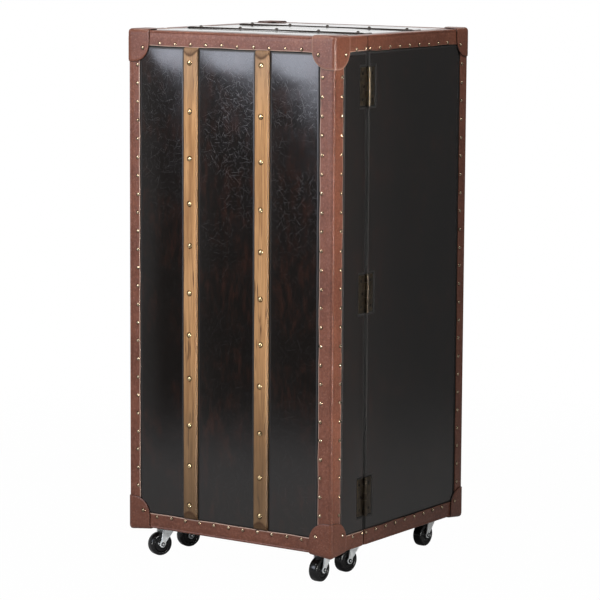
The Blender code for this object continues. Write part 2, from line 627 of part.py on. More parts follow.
# Stemware rack: a board under the top, with slots from its front edge for the stems
def rack_outline():
    """The board from above, its slots ending in half circles."""
    front = BODY_EDGE + RACK_SETBACK
    points = [(SHELF_RIGHT, front), (SHELF_RIGHT, SHELF_BACK), (SHELF_LEFT, SHELF_BACK), (SHELF_LEFT, front)]
    pitch = (SHELF_RIGHT - SHELF_LEFT) / GLASS_SLOTS
    radius = GLASS_SLOT_WIDE / 2
    for number in range(GLASS_SLOTS):
        x = SHELF_LEFT + (number + 0.5) * pitch
        points.append((x - radius, front))
        points += arc((x, front + GLASS_SLOT_LONG - radius), radius, pi, 0, GLASS_SLOT_END_STEPS)
        points.append((x + radius, front))
    return points


rack_middle = INNER_TOP - RACK_DROP - RACK_THICK / 2
rack = outline(rack_outline(), RACK_THICK, Matrix.Translation((0, 0, rack_middle)))
add_fixed("stemware_rack", rack, INSIDE_WOOD, body)

# Bottle shelves inside the door, each with a guard along its open side
guard_back = DOOR_EDGE - GUARD_SETBACK
shelf_profile = [
    (RIM_FRONT, 0), (guard_back, 0), (guard_back, GUARD_TALL), (guard_back - GUARD_THICK, GUARD_TALL),
    (guard_back - GUARD_THICK, DOOR_SHELF_THICK), (RIM_FRONT, DOOR_SHELF_THICK),
]
for level, over_underside in DOOR_SHELF_HEIGHTS.items():
    middle = ((INNER_LEFT + INNER_RIGHT) / 2, 0, BOTTOM + over_underside)
    frame = axes_frame((0, 1, 0), (0, 0, 1), (1, 0, 0), middle)
    door_shelf = outline(shelf_profile, SHELF_RIGHT - SHELF_LEFT, frame)
    add_fixed(f"door_shelf_{level}", door_shelf, INSIDE_WOOD, door)

# Magnetic catch on the body and the bent steel strike that it holds on the door
catch_left = INNER_LEFT + CATCH_FROM_SIDE
catch_right = catch_left + CATCH_LONG
board("magnetic_catch", (catch_left, BODY_EDGE, INNER_TOP - FIT - CATCH_TALL),
      (catch_right, BODY_EDGE + CATCH_DEEP, INNER_TOP - FIT), MAGNET, body)
strike_top = INNER_TOP - FIT
strike_profile = [
    (DOOR_EDGE, strike_top),
    (DOOR_EDGE - STRIKE_FOOT, strike_top),
    (DOOR_EDGE - STRIKE_FOOT, strike_top - STRIKE_THICK),
    (DOOR_EDGE - STRIKE_THICK, strike_top - STRIKE_THICK),
    (DOOR_EDGE - STRIKE_THICK, strike_top - STRIKE_TALL),
    (DOOR_EDGE, strike_top - STRIKE_TALL),
]
strike_frame = axes_frame((0, 1, 0), (0, 0, 1), (1, 0, 0), ((catch_left + catch_right) / 2, 0, 0))
add_fixed("catch_strike", outline(strike_profile, CATCH_LONG, strike_frame), STEEL, door)

bpy.data.collections.remove(workbench)
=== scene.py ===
import json
from functools import reduce
from math import cos, hypot, pi, radians, sin, sqrt

import bmesh
import bpy
from mathutils import Matrix, Vector


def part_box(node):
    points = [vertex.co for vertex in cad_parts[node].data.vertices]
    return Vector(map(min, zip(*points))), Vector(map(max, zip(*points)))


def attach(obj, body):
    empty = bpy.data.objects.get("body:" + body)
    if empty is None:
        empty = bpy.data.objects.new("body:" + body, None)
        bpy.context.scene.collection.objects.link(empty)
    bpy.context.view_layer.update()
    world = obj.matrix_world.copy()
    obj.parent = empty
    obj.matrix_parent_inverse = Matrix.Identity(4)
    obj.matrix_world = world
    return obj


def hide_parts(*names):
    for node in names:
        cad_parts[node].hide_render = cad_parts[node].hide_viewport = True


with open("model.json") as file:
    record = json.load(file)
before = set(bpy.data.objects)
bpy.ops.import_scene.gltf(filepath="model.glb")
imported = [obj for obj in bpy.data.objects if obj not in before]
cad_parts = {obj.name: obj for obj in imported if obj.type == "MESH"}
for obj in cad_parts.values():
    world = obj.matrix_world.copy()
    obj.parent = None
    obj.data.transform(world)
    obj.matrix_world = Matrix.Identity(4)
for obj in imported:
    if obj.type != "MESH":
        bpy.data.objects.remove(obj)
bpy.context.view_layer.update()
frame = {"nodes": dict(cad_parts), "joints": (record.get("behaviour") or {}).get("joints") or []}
cad = frame["nodes"]

# Boards of the body and of the door
# Plywood boards, glued and pinned along their edges, with a dark walnut veneer on the inside.
# Their outsides and the edges that meet at the split are stained black, under the leather.
STAIN_FROM = 0.001
STAIN_FULL = 0.002
case_low, door_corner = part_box("door_edge_binding")
body_corner, case_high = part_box("body_edge_binding")
door_edge, body_edge = door_corner.y, body_corner.y
board_low = Vector((
    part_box("body_left_panel")[0].x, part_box("door_front_panel")[0].y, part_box("body_floor_panel")[0].z,
))
board_high = Vector((
    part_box("body_right_panel")[1].x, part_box("body_back_panel")[1].y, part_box("body_top_panel")[1].z,
))
board_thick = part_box("body_left_panel")[1].x - board_low.x


class Shade:
    """A socket of a finish; sums with it become Math nodes."""

    def __init__(self, finish, socket):
        self.finish = finish
        self.socket = socket

    def output(self, name):
        """Another output of the same node."""
        return Shade(self.finish, self.socket.node.outputs[name])

    def math(self, operation, *values):
        return self.finish.node("Math", {"operation": operation}, dict(enumerate(values)))

    def __add__(self, other):
        return self.math("ADD", self, other)

    __radd__ = __add__

    def __sub__(self, other):
        return self.math("SUBTRACT", self, other)

    def __rsub__(self, other):
        return self.math("SUBTRACT", other, self)

    def __mul__(self, other):
        return self.math("MULTIPLY", self, other)

    __rmul__ = __mul__

    def __abs__(self):
        return self.math("ABSOLUTE", self)

    def over(self, other):
        """The larger of the two."""
        return self.math("MAXIMUM", self, other)

    def step(self, low, high):
        """0 up to low and 1 from high on, with a smooth rise between; high may be the lower one."""
        sockets = {"Value": self, "From Min": low, "From Max": high}
        return self.finish.node("MapRange", {"interpolation_type": "SMOOTHSTEP"}, sockets)


class Finish:
    """The nodes of a new material, or of a new world."""

    def __init__(self, name, kind="materials"):
        self.owner = getattr(bpy.data, kind).new(name)
        self.owner.use_nodes = True
        self.tree = self.owner.node_tree

    def feed(self, socket, value):
        if isinstance(value, Shade):
            self.tree.links.new(value.socket, socket)
        else:
            socket.default_value = value

    def node(self, kind, settings=None, sockets=None, out=0):
        """Adds a node: its settings are set first, then the values or links of its sockets."""
        node = self.tree.nodes.new("ShaderNode" + kind)
        for name, value in (settings or {}).items():
            setattr(node, name, value)
        for name, value in (sockets or {}).items():
            self.feed(node.inputs[name], value)
        return Shade(self, node.outputs[out])

    def vector(self, operation, *values, out=0):
        return self.node("VectorMath", {"operation": operation}, dict(enumerate(values)), out)

    def place(self, stretch=(1, 1, 1), shift=(0, 0, 0)):
        """Where a point is in the object, in metres, stretched along the axes."""
        spot = self.node("TexCoord", out="Object")
        return self.node("Mapping", None, {"Vector": spot, "Location": shift, "Scale": stretch})

    def along(self, axis):
        """How far along an axis a point is in the object, in metres."""
        return self.node("SeparateXYZ", None, {0: self.place()}, out=axis)

    def noise(self, scale, detail=3.0, roughness=0.5, distortion=0.0, spot=None):
        names = ("Vector", "Scale", "Detail", "Roughness", "Distortion")
        values = (spot or self.place(), scale, detail, roughness, distortion)
        return self.node("TexNoise", None, dict(zip(names, values)))

    def grain(self, axis, stretch, *noise):
        """A noise that is drawn out along an axis."""
        spot = self.place([stretch if number == axis else 1.0 for number in range(3)])
        return self.noise(*noise, spot=spot)

    def layers(self, first, *others):
        """A colour with others laid over it; each of them has its share before its red, green and blue."""
        base = (*first, 1.0)
        for share, *colour in others:
            base = self.node("Mix", {"data_type": "RGBA"}, {0: share, 6: base, 7: (*colour, 1.0)}, out=2)
        return base

    def wear_and_painted_light(self):
        """What a piece's points say of how far its surface is worn, and where it is painted with shade or
        highlight: 0 for new and unpainted.
        """
        return self.node("Attribute", {"attribute_name": "wear_and_painted_light"}, out="Fac")

    def dress(self, height, depth, base, roughness, more=None):
        """Feeds the surface, with height times a depth in metres as its bump, and more of it by name."""
        bump = self.node("Bump", None, {"Height": height, "Strength": 1.0, "Distance": depth})
        sockets = {"Base Color": base, "Roughness": roughness, "Normal": bump, **(more or {})}
        for name, value in sockets.items():
            self.feed(self.tree.nodes["Principled BSDF"].inputs[name], value)
        return self.owner


def walnut(name, axis, rough, stained=False):
    """Walnut with its grain along an axis, stained black outside the case's inner box where asked."""
    dark = (0.040, 0.017, 0.009)
    finish = Finish(name)
    figure = finish.grain(axis, 0.06, 34, 5, 0.62, 0.5)
    pores = finish.grain(axis, 0.018, 520, 2, 0.6)
    tone = finish.noise(5, 2)
    coats = [
        (figure.step(0.32, 0.68), 0.115, 0.050, 0.024), (pores.step(0.56, 0.70) * 0.55, *dark),
        (tone.step(0.35, 0.75) * 0.35, *dark),
    ]
    if stained:
        middle = (board_low + board_high) / 2
        reach = (board_high - board_low) / 2 - Vector.Fill(3, board_thick)
        beyond = [abs(finish.along(number) - middle[number]) - reach[number] for number in range(3)]
        coats.append((reduce(Shade.over, beyond).step(STAIN_FROM, STAIN_FULL), 0.008, 0.007, 0.006))
    return finish.dress(pores, 0.00015, finish.layers(dark, *coats), pores * 0.2 + rough)


def repaint(material, *nodes):
    """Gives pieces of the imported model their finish."""
    for node in nodes:
        cad[node].data.materials.clear()
        cad[node].data.materials.append(material)


upright_boards = walnut("walnut_upright_boards", 2, 0.32, True)
level_boards = walnut("walnut_level_boards", 0, 0.32, True)
for half in ("body", "door"):
    repaint(upright_boards, f"{half}_left_panel", f"{half}_right_panel")
    repaint(level_boards, f"{half}_top_panel", f"{half}_floor_panel")
repaint(upright_boards, "body_back_panel", "door_front_panel")

# Black leather on the outside of each board
# Glazed black hide glued to the boards, rolled in along all its edges and slightly crowned between them.
# The slats and the hinge leaves press it flat, and the grooves along its rolled edges are painted dark as
# painted shade. On the front its glaze is polished, with brown streaks and fine hairlines that gather near
# the top; there the hairlines are painted pale, as painted glints where the highlight falls.
LEATHER_THICK = 0.0026
LEATHER_PRESSED = 0.0002
LEATHER_GROOVE = 0.0014
LEATHER_ROLL = 0.0044
LEATHER_ROLL_SHARES = (0.0, 0.04, 0.12, 0.25, 0.42, 0.65, 1.0)
LEATHER_DULL_AND_SHADED_TO = 1.3
LEATHER_CROWN = 0.0015
FRONT_LEATHER_CROWN = 0.0023
LEATHER_CROWN_AT_ENDS = 0.35
LEATHER_CROWN_RISE = 22
LEATHER_WAVE = 0.00010
LEATHER_PITCH_ACROSS = 0.014
LEATHER_PITCH_ALONG = 0.022
LEATHER_PITCH_LEAST = LEATHER_ROLL / 40
UNDER_BAND = 0.002
LEATHER_FROM_SPLIT = 0.0022
LEATHER_FROM_REAR = 0.0070
HAIRLINES = ((27, 0.00021), (36, 0.00021), (47, 0.00020), (61, 0.00020), (80, 0.00019), (104, 0.00018))
HAIRLINE_BEND = 0.0035
HAIRLINES_FROM = case_low.z + 0.56
HAIRLINES_FULL = case_high.z - 0.14
HAIRLINES_HINGEWARD = (-0.20, 0.0)
BAND_WIDE = 0.034
UPRIGHT_BAND_WIDE = 0.029
HINGE_BAND_WIDE = 0.036
SHARP_FROM = radians(42)
X, Y, Z = (Vector(axis) for axis in ((1, 0, 0), (0, 1, 0), (0, 0, 1)))
bands_low, bands_high = case_low.z + BAND_WIDE, case_high.z - BAND_WIDE


def loft(rings, wear_and_painted_light=None):
    """Points, faces, and marks of wear and painted light, of a closed skin over rings that have as many
    points each.
    """
    count = len(rings[0])
    points = [Vector(point) for ring in rings for point in ring]
    faces = []
    for start in range(0, len(points) - count, count):
        for step in range(count):
            after = (step + 1) % count
            faces.append((start + step, start + after, start + count + after, start + count + step))
    faces.append(tuple(range(count)))
    faces.append(tuple(range(len(points) - count, len(points))))
    return points, faces, wear_and_painted_light or [0.0] * len(points)


def piece(name, lofts, material, body, slot, *replaced):
    """One named piece made of lofts, that rides on a body."""
    points = []
    faces = []
    marks = []
    for loft_points, loft_faces, loft_marks in lofts:
        faces += [[len(points) + number for number in face] for face in loft_faces]
        points += loft_points
        marks += loft_marks
    mesh = bpy.data.meshes.new(name)
    mesh.from_pydata(points, [], faces)
    shape = bmesh.new()
    shape.from_mesh(mesh)
    bmesh.ops.recalc_face_normals(shape, faces=shape.faces)
    shape.to_mesh(mesh)
    shape.free()
    mesh.shade_smooth()
    mesh.set_sharp_from_angle(angle=SHARP_FROM)
    mesh.attributes.new("wear_and_painted_light", "FLOAT", "POINT").data.foreach_set("value", marks)
    mesh.materials.append(material)
    made = bpy.data.objects.new(name, mesh)
    bpy.context.scene.collection.objects.link(made)
    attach(made, body)
    if replaced:
        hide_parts(*replaced)
    return made


def hairlines(finish):
    """Short bent strokes, one through the middle of each cell of some layers of cells."""
    swirl = finish.noise(30, 2).output("Color")
    bent = finish.vector("MULTIPLY_ADD", swirl, (HAIRLINE_BEND,) * 3, finish.place())
    strokes = []
    for scale, wide in HAIRLINES:
        cell = finish.node("TexVoronoi", None, {"Vector": bent, "Scale": scale}, out="Color")
        away = finish.vector("SUBTRACT", bent, cell.output("Position"))
        way = finish.vector("NORMALIZE", finish.vector("MULTIPLY_ADD", cell, (1, 0, 1), (-0.5, 0, -0.5)))
        across = finish.vector("DOT_PRODUCT", away, way, out="Value")
        chance = finish.node("SeparateColor", None, {0: cell}, out="Green")
        short = cell.output("Distance").step(0.60, 0.42)
        strokes.append(abs(across).step(wide, wide * 0.4) * chance.step(0.10, 0.95) * short)
    return reduce(Shade.over, strokes)


def black_leather(name, rough, crackle_and_painted_glints, redness, uneven, gloss, coat=0.0):
    """A glazed hide: how far its hairlines (painted pale as painted glints), its brown streaks and its
    unevenness show, and how it shines.
    """
    finish = Finish(name)
    cloud = finish.noise(8, 4, 0.6)
    mottle = finish.noise(26, 4, 0.6, 0.4)
    streaks = finish.grain(2, 0.3, 55, 5, 0.70, 0.3)
    cells = {"Vector": finish.place(), "Scale": 620, "Smoothness": 0.6}
    pebble = finish.node("TexVoronoi", {"feature": "SMOOTH_F1"}, cells)
    # The hairlines gather towards the top, where the highlight falls, and towards the hinge side. Their pale
    # colour is a painted glint.
    up = finish.along("Z").step(HAIRLINES_FROM, HAIRLINES_FULL)
    hingeward = finish.along("X").step(*HAIRLINES_HINGEWARD)
    creases_and_painted_glints = hairlines(finish) * cloud.step(0.34, 0.52) * (up * 0.80 + 0.20) * (hingeward * 0.5 + 0.5)
    brown = streaks.step(0.42, 0.70) * cloud.step(0.60, 0.42) * redness
    base = finish.layers(
        (0.0066, 0.0049, 0.0041), (brown, 0.0260, 0.0105, 0.0070), (creases_and_painted_glints * crackle_and_painted_glints, 0.235, 0.228, 0.232),
        # Where its points are marked, in its grooves and rolled edges, the hide is painted near black as
        # painted shade.
        (finish.wear_and_painted_light(), 0.002, 0.0017, 0.0015),
    )
    roughness = mottle * 0.08 + creases_and_painted_glints * crackle_and_painted_glints * 0.14 + finish.wear_and_painted_light() * 0.75 + rough
    height = pebble * uneven * 0.04 + mottle * uneven - creases_and_painted_glints * 0.10
    shine = {"Specular IOR Level": gloss, "Coat Weight": coat, "Coat Roughness": 0.06}
    return finish.dress(height, 0.00012, base, roughness, shine)


front_leather = black_leather("black_leather_front", 0.08, 0.65, 0.85, 0.8, 0.85)
side_leather = black_leather("black_leather_sides", 0.20, 0.03, 0.50, 0.2, 0.8)
top_leather = black_leather("black_leather_top", 0.06, 0.03, 0.10, 0.05, 0.6, 0.35)


def spread(low, high, pitch):
    """Even places from low to high, as near to the pitch as they can be."""
    steps = max(1, round(abs(high - low) / pitch))
    return [low + (high - low) * number / steps for number in range(steps + 1)]


def lines(low, high, marks, pitch):
    """Places for a mesh's lines: even between low and high, and close where the hide rolls to a mark."""
    spots = spread(low, high, pitch)
    for mark in marks:
        spots.append(mark)
        for share in (*LEATHER_ROLL_SHARES, LEATHER_DULL_AND_SHADED_TO):
            away = LEATHER_GROOVE + LEATHER_ROLL * share
            spots += [mark - away, mark + away]
    ordered = []
    for spot in sorted(spots):
        if low <= spot <= high and (not ordered or spot - ordered[-1] > LEATHER_PITCH_LEAST):
            ordered.append(spot)
    ordered[-1] = high
    return ordered


def leather_panel(name, body, face, window, reach=(UNDER_BAND,) * 4, columns=(), pressed=(),
                  hide=side_leather, crown=LEATHER_CROWN, shiny_end=False):
    """A hide over one face: window is what shows of it, and reach how far it goes on at each side.
    Columns are the middles of the slats, and pressed the boxes of what holds it down."""
    level, across, along, outward = face
    left, right, bottom, top = window
    low_u, high_u, low_v, high_v = left - reach[0], right + reach[1], bottom - reach[2], top + reach[3]
    bounds_across = [left, *columns, right]

    def height(u, v):
        gap = min(u - left, right - u, v - bottom, top - v)
        for from_u, to_u, from_v, to_v in pressed:
            gap = min(gap, max(from_u - u, u - to_u, from_v - v, v - to_v))
        rolled = max(gap - LEATHER_GROOVE, 0.0) / LEATHER_ROLL
        rise = sqrt(1 - (1 - min(rolled, 1)) ** 2)
        share = 0.0
        for low, high in zip(bounds_across, bounds_across[1:]):
            if low <= u <= high:
                share = (u - low) / (high - low)
        lengthwise = max(0.0, min(1.0, (v - bottom) * LEATHER_CROWN_RISE, (top - v) * LEATHER_CROWN_RISE))
        full = LEATHER_CROWN_AT_ENDS + (1 - LEATHER_CROWN_AT_ENDS) * lengthwise
        swell = crown * sin(pi * share) * full
        wave = LEATHER_WAVE * (sin(23 * u + 11 * v + 1.3) * sin(17 * v + 0.4) + sin(41 * u - 13 * v))
        # Near its edges the hide turns rougher and is painted near black, a painted shade in its grooves.
        dull = 1 - min(rolled / LEATHER_DULL_AND_SHADED_TO, 1)
        if shiny_end and rolled > 0 and gap == right - u:
            dull = 0.0
        return LEATHER_PRESSED + (LEATHER_THICK - LEATHER_PRESSED + swell + wave) * rise, dull

    marks_u = [left, right] + [side for hold in pressed for side in hold[:2]]
    marks_v = [bottom, top] + [side for hold in pressed for side in hold[2:]]
    spots_u = lines(low_u, high_u, marks_u, LEATHER_PITCH_ACROSS)
    rings = []
    wear_and_painted_light = []
    for v in lines(low_v, high_v, marks_v, LEATHER_PITCH_ALONG):
        ring = []
        for u in spots_u:
            high, dull = height(u, v)
            ring.append(level + across * u + along * v + outward * high)
            wear_and_painted_light.append(dull)
        ring += [level + across * u + along * v for u in (high_u, low_u)]
        wear_and_painted_light += [1.0, 1.0]
        rings.append(ring)
    return piece(name, [loft(rings, wear_and_painted_light)], hide, body, "black_leather")


def span(node, axis):
    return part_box(node)[0][axis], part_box(node)[1][axis]


slat_spans = [span(f"front_slat_{side}", 0) for side in ("left", "right")]
leather_panel(
    "leather_front", "door", (Y * board_low.y, X, Z, -Y),
    (case_low.x + UPRIGHT_BAND_WIDE, case_high.x - HINGE_BAND_WIDE, bands_low, bands_high),
    columns=[sum(slat) / 2 for slat in slat_spans],
    pressed=[(*slat, bands_low - UNDER_BAND, bands_high + UNDER_BAND) for slat in slat_spans],
    hide=front_leather, crown=FRONT_LEATHER_CROWN,
)
hinge_levels = [span(f"hinge_{level}_door_leaf", 2) for level in ("upper", "middle", "lower")]
leaf_of_door = span("hinge_middle_door_leaf", 1)
leaf_of_body = span("hinge_middle_body_leaf", 1)
for side, level_x, outward, band, hinged in (
    ("left", board_low.x, -X, UPRIGHT_BAND_WIDE, []),
    ("right", board_high.x, X, HINGE_BAND_WIDE, hinge_levels),
):
    face = (X * level_x, Y, Z, outward)
    leather_panel(
        f"leather_door_{side}", "door", face,
        (case_low.y + band, door_edge - LEATHER_FROM_SPLIT, bands_low, bands_high),
        (UNDER_BAND, LEATHER_FROM_SPLIT, UNDER_BAND, UNDER_BAND),
        pressed=[(leaf_of_door[0], door_edge, *tall) for tall in hinged],
    )
    back = case_high.y - UPRIGHT_BAND_WIDE - LEATHER_FROM_REAR
    leather_panel(
        f"leather_body_{side}", "trunk", face,
        (body_edge + LEATHER_FROM_SPLIT, back, bands_low, bands_high),
        (LEATHER_FROM_SPLIT, LEATHER_FROM_REAR + UNDER_BAND, UNDER_BAND, UNDER_BAND),
        pressed=[(body_edge, leaf_of_body[1], *tall) for tall in hinged], shiny_end=True,
    )
leather_panel(
    "leather_back", "trunk", (Y * board_high.y, X, Z, Y),
    (case_low.x + UPRIGHT_BAND_WIDE, case_high.x - UPRIGHT_BAND_WIDE, bands_low, bands_high),
)
top_left, top_right = case_low.x + BAND_WIDE, case_high.x - BAND_WIDE
leather_panel(
    "leather_door_top", "door", (Z * board_high.z, X, Y, Z),
    (top_left, top_right, case_low.y + BAND_WIDE, door_edge), (UNDER_BAND, UNDER_BAND, UNDER_BAND, 0.0),
    hide=top_leather,
)
top_slat_spans = [span(f"top_slat_{end}", 1) for end in ("front", "rear")]
leather_panel(
    "leather_body_top", "trunk", (Z * board_high.z, X, Y, Z),
    (top_left, top_right, body_edge, case_high.y - BAND_WIDE), (UNDER_BAND, UNDER_BAND, 0.0, UNDER_BAND),
    pressed=[(top_left - UNDER_BAND, top_right + UNDER_BAND, *slat) for slat in top_slat_spans],
    hide=top_leather,
)

# Brown leather bindings along the edges
# A strip of saddle leather folded over each edge of the case, glued down and nailed on upright faces.
# It is cut at the split and a faint bead runs along the fold. The door's cut sides are raw and painted pale
# as a painted highlight, the body's barely so. Every cut side is painted dark at its foot, and the crease
# and bead a little darker, as painted shadow.
BAND_THICK = 0.0025
BAND_BEAD = 0.0027
BAND_BEAD_PROUD = 0.0002
BAND_BEAD_TURNS = [radians(turn) for turn in spread(-55, -215, 20)]
BAND_CREASE = 0.0005
BAND_EASE = 0.0009
BAND_PUFF = 0.00030
BAND_STRAY = 0.00035
BAND_START = 0.040
BAND_FROM_SPLIT = 0.0014
BAND_FIRST_PHASE = 0.4
BAND_PHASE_STEP = 1.7
BAND_RAW_AND_PAINTED_HIGHLIGHT = {"door": 1.0, "body": 0.10}
NAIL_PITCH = 0.0415
SIDES = (("left", case_low.x, 1), ("right", case_high.x, -1))
LEVELS = (("bottom", case_low.z, 1), ("top", case_high.z, -1))
HALVES = (
    ("front", "door", case_low.y, 1, door_edge, (UPRIGHT_BAND_WIDE, HINGE_BAND_WIDE)),
    ("rear", "trunk", case_high.y, -1, body_edge, (UPRIGHT_BAND_WIDE, UPRIGHT_BAND_WIDE)),
)

finish = Finish("brown_leather")
cloud = finish.noise(9, 3, 0.6)
scuff = finish.noise(75, 4, 0.7, 0.6, finish.place(shift=(2.3, 0.7, 1.1)))
cells = {"Vector": finish.place(), "Scale": 420}
pebble = finish.node("TexVoronoi", {"feature": "DISTANCE_TO_EDGE"}, cells).step(0.0, 0.35)
speck = finish.noise(210, 3, 0.7)
base = finish.layers(
    (0.150, 0.047, 0.025), (cloud.step(0.3, 0.7), 0.222, 0.075, 0.040),
    (scuff.step(0.52, 0.75) * 0.40, 0.275, 0.108, 0.068),
    (speck.step(0.52, 0.66) * 0.55, 0.330, 0.150, 0.104),
    (speck.step(0.46, 0.34) * 0.55, 0.085, 0.028, 0.016),
    (pebble.step(0.5, 0.0) * 0.45, 0.070, 0.022, 0.014),
    # Marked up, the leather is painted pale: a raw edge brightened as a painted highlight. Marked down, it
    # is painted dark as painted shadow.
    (finish.wear_and_painted_light().over(0.0), 0.520, 0.360, 0.285), (finish.wear_and_painted_light().step(0.0, -1.0), 0.020, 0.008, 0.006),
)
roughness = 0.21 + scuff * 0.14 + (1 - pebble) * 0.10
saddle_leather = finish.dress(pebble + speck * 0.5, 0.00008, base, roughness)


def strip(start, end, in_first, in_second, wide, phase, raw_and_painted_light, cut=False):
    """A strip folded over an edge, along in_first on one face and in_second on the other.
    Its end sinks a little where it is cut."""
    way = end - start
    length = way.length
    way = way / length
    stations = spread(0.0, length, NAIL_PITCH / 6)
    rings = []
    for s in stations:
        lift = -BAND_PUFF * sin(pi * s / NAIL_PITCH + phase) ** 2
        sink = BAND_EASE if cut and s == stations[-1] else 0.0
        reach = wide + BAND_STRAY * (sin(61 * s + phase) + sin(37 * s + 2.1 * phase))
        flank = [
            (reach, BAND_THICK), (reach, BAND_EASE + sink),
            (reach - BAND_EASE * 0.3, BAND_EASE * 0.3 + lift + sink),
            (reach - BAND_EASE * 1.4, lift + sink), (reach - BAND_EASE * 2.6, lift + sink),
            (reach * 0.72, lift * 0.7 + sink), (reach * 0.45, sink),
            (BAND_BEAD * 2.8, sink), (BAND_BEAD * 2.3, BAND_CREASE * 0.8 + sink),
            (BAND_BEAD * 1.9, BAND_CREASE + sink),
        ]
        radius = BAND_BEAD + BAND_BEAD_PROUD - sink
        bead = [(BAND_BEAD + radius * cos(turn), BAND_BEAD + radius * sin(turn)) for turn in BAND_BEAD_TURNS]
        section = flank + bead + [(b, a) for a, b in reversed(flank)] + [(BAND_THICK, BAND_THICK)]
        rings.append([start + way * s + in_first * a + in_second * b for a, b in section])
    # The cut side is painted pale as far as asked, a painted highlight, and dark at its foot. The crease and
    # bead are a little darker. The dark is painted shadow.
    side = [-0.6, raw_and_painted_light, raw_and_painted_light, raw_and_painted_light * 0.7, 0.0, 0.0, 0.0, 0.0, -0.15, -0.15]
    return loft(rings, (side + [-0.08] * len(bead) + side[::-1] + [0.0]) * len(rings))


for (name, raw_and_painted_light), (_, body, edge_y, way_y, split_y, widths) in zip(BAND_RAW_AND_PAINTED_HIGHLIGHT.items(), HALVES):
    strips = []
    phase = BAND_FIRST_PHASE
    near_y, far_y = edge_y + way_y * BAND_START, split_y - way_y * BAND_FROM_SPLIT
    for (_, x, way_x), wide in zip(SIDES, widths):
        ends = (Vector((x, edge_y, z + way_z * BAND_START)) for _, z, way_z in LEVELS)
        strips.append(strip(*ends, X * way_x, Y * way_y, wide, phase, raw_and_painted_light))
        for _, z, way_z in LEVELS:
            phase += BAND_PHASE_STEP
            ends = (Vector((x, y, z)) for y in (near_y, far_y))
            strips.append(strip(*ends, X * way_x, Z * way_z, BAND_WIDE, phase, raw_and_painted_light, True))
    for _, z, way_z in LEVELS:
        phase += BAND_PHASE_STEP
        ends = (Vector((x + way_x * BAND_START, edge_y, z)) for _, x, way_x in SIDES)
        strips.append(strip(*ends, Z * way_z, Y * way_y, BAND_WIDE, phase, raw_and_painted_light))
    piece(f"binding_{name}", strips, saddle_leather, body, "brown_leather", f"{name}_edge_binding")

# Corner caps
# A cup of thicker saddle leather, wet moulded over each corner and its bindings, and nailed.
# The top ones have a welt along each edge, and the one by the hinges a pale raw rim, painted paler as a
# painted highlight. The rims of the others are painted dark as painted shade, and every rim is painted dark
# at its foot as painted shadow.
# The bottom ones are smooth, sag a little and are notched underneath.
CAP_THICK = 0.003
CAP_LIFT = 0.0003
CAP_ROUND = 0.0085
CAP_CORNER = 0.042
CAP_STRAIGHT = 0.0066
CAP_LIP = 0.0016
CAP_STEPS = 16
CAP_NOTCH = 0.034
CAP_SAG = 0.0055
CAP_SAG_TALL = 0.030
CAP_WELT = 0.0017
CAP_WELT_FROM_CORNER = 0.012
CAP_WELT_WORN = 0.25
CAP_RIM_PAINTED_SHADE = -0.4
HINGE_TOP_CAP_RAW_RIM_AND_HIGHLIGHT = 0.85
CAP_RISE = CAP_THICK + CAP_LIFT


def turned(profile, middle, axis, sides, wear_and_painted_light=None):
    """A profile of radius and height turned about an axis from a middle, with the marks of wear and painted
    light of its points.
    """
    first = axis.orthogonal().normalized()
    second = axis.cross(first)
    turns = [2 * pi * number / sides for number in range(sides)]
    ways = [first * cos(turn) + second * sin(turn) for turn in turns]
    rings = [[middle + axis * height + way * radius for way in ways] for radius, height in profile]
    return loft(rings, wear_and_painted_light and [mark for mark in wear_and_painted_light for _ in range(sides)])


def quads(rows):
    """The faces of a grid of points, given as rows of their numbers."""
    faces = []
    for here, after in zip(rows, rows[1:]):
        faces += zip(here, after, after[1:], here[1:])
    return faces


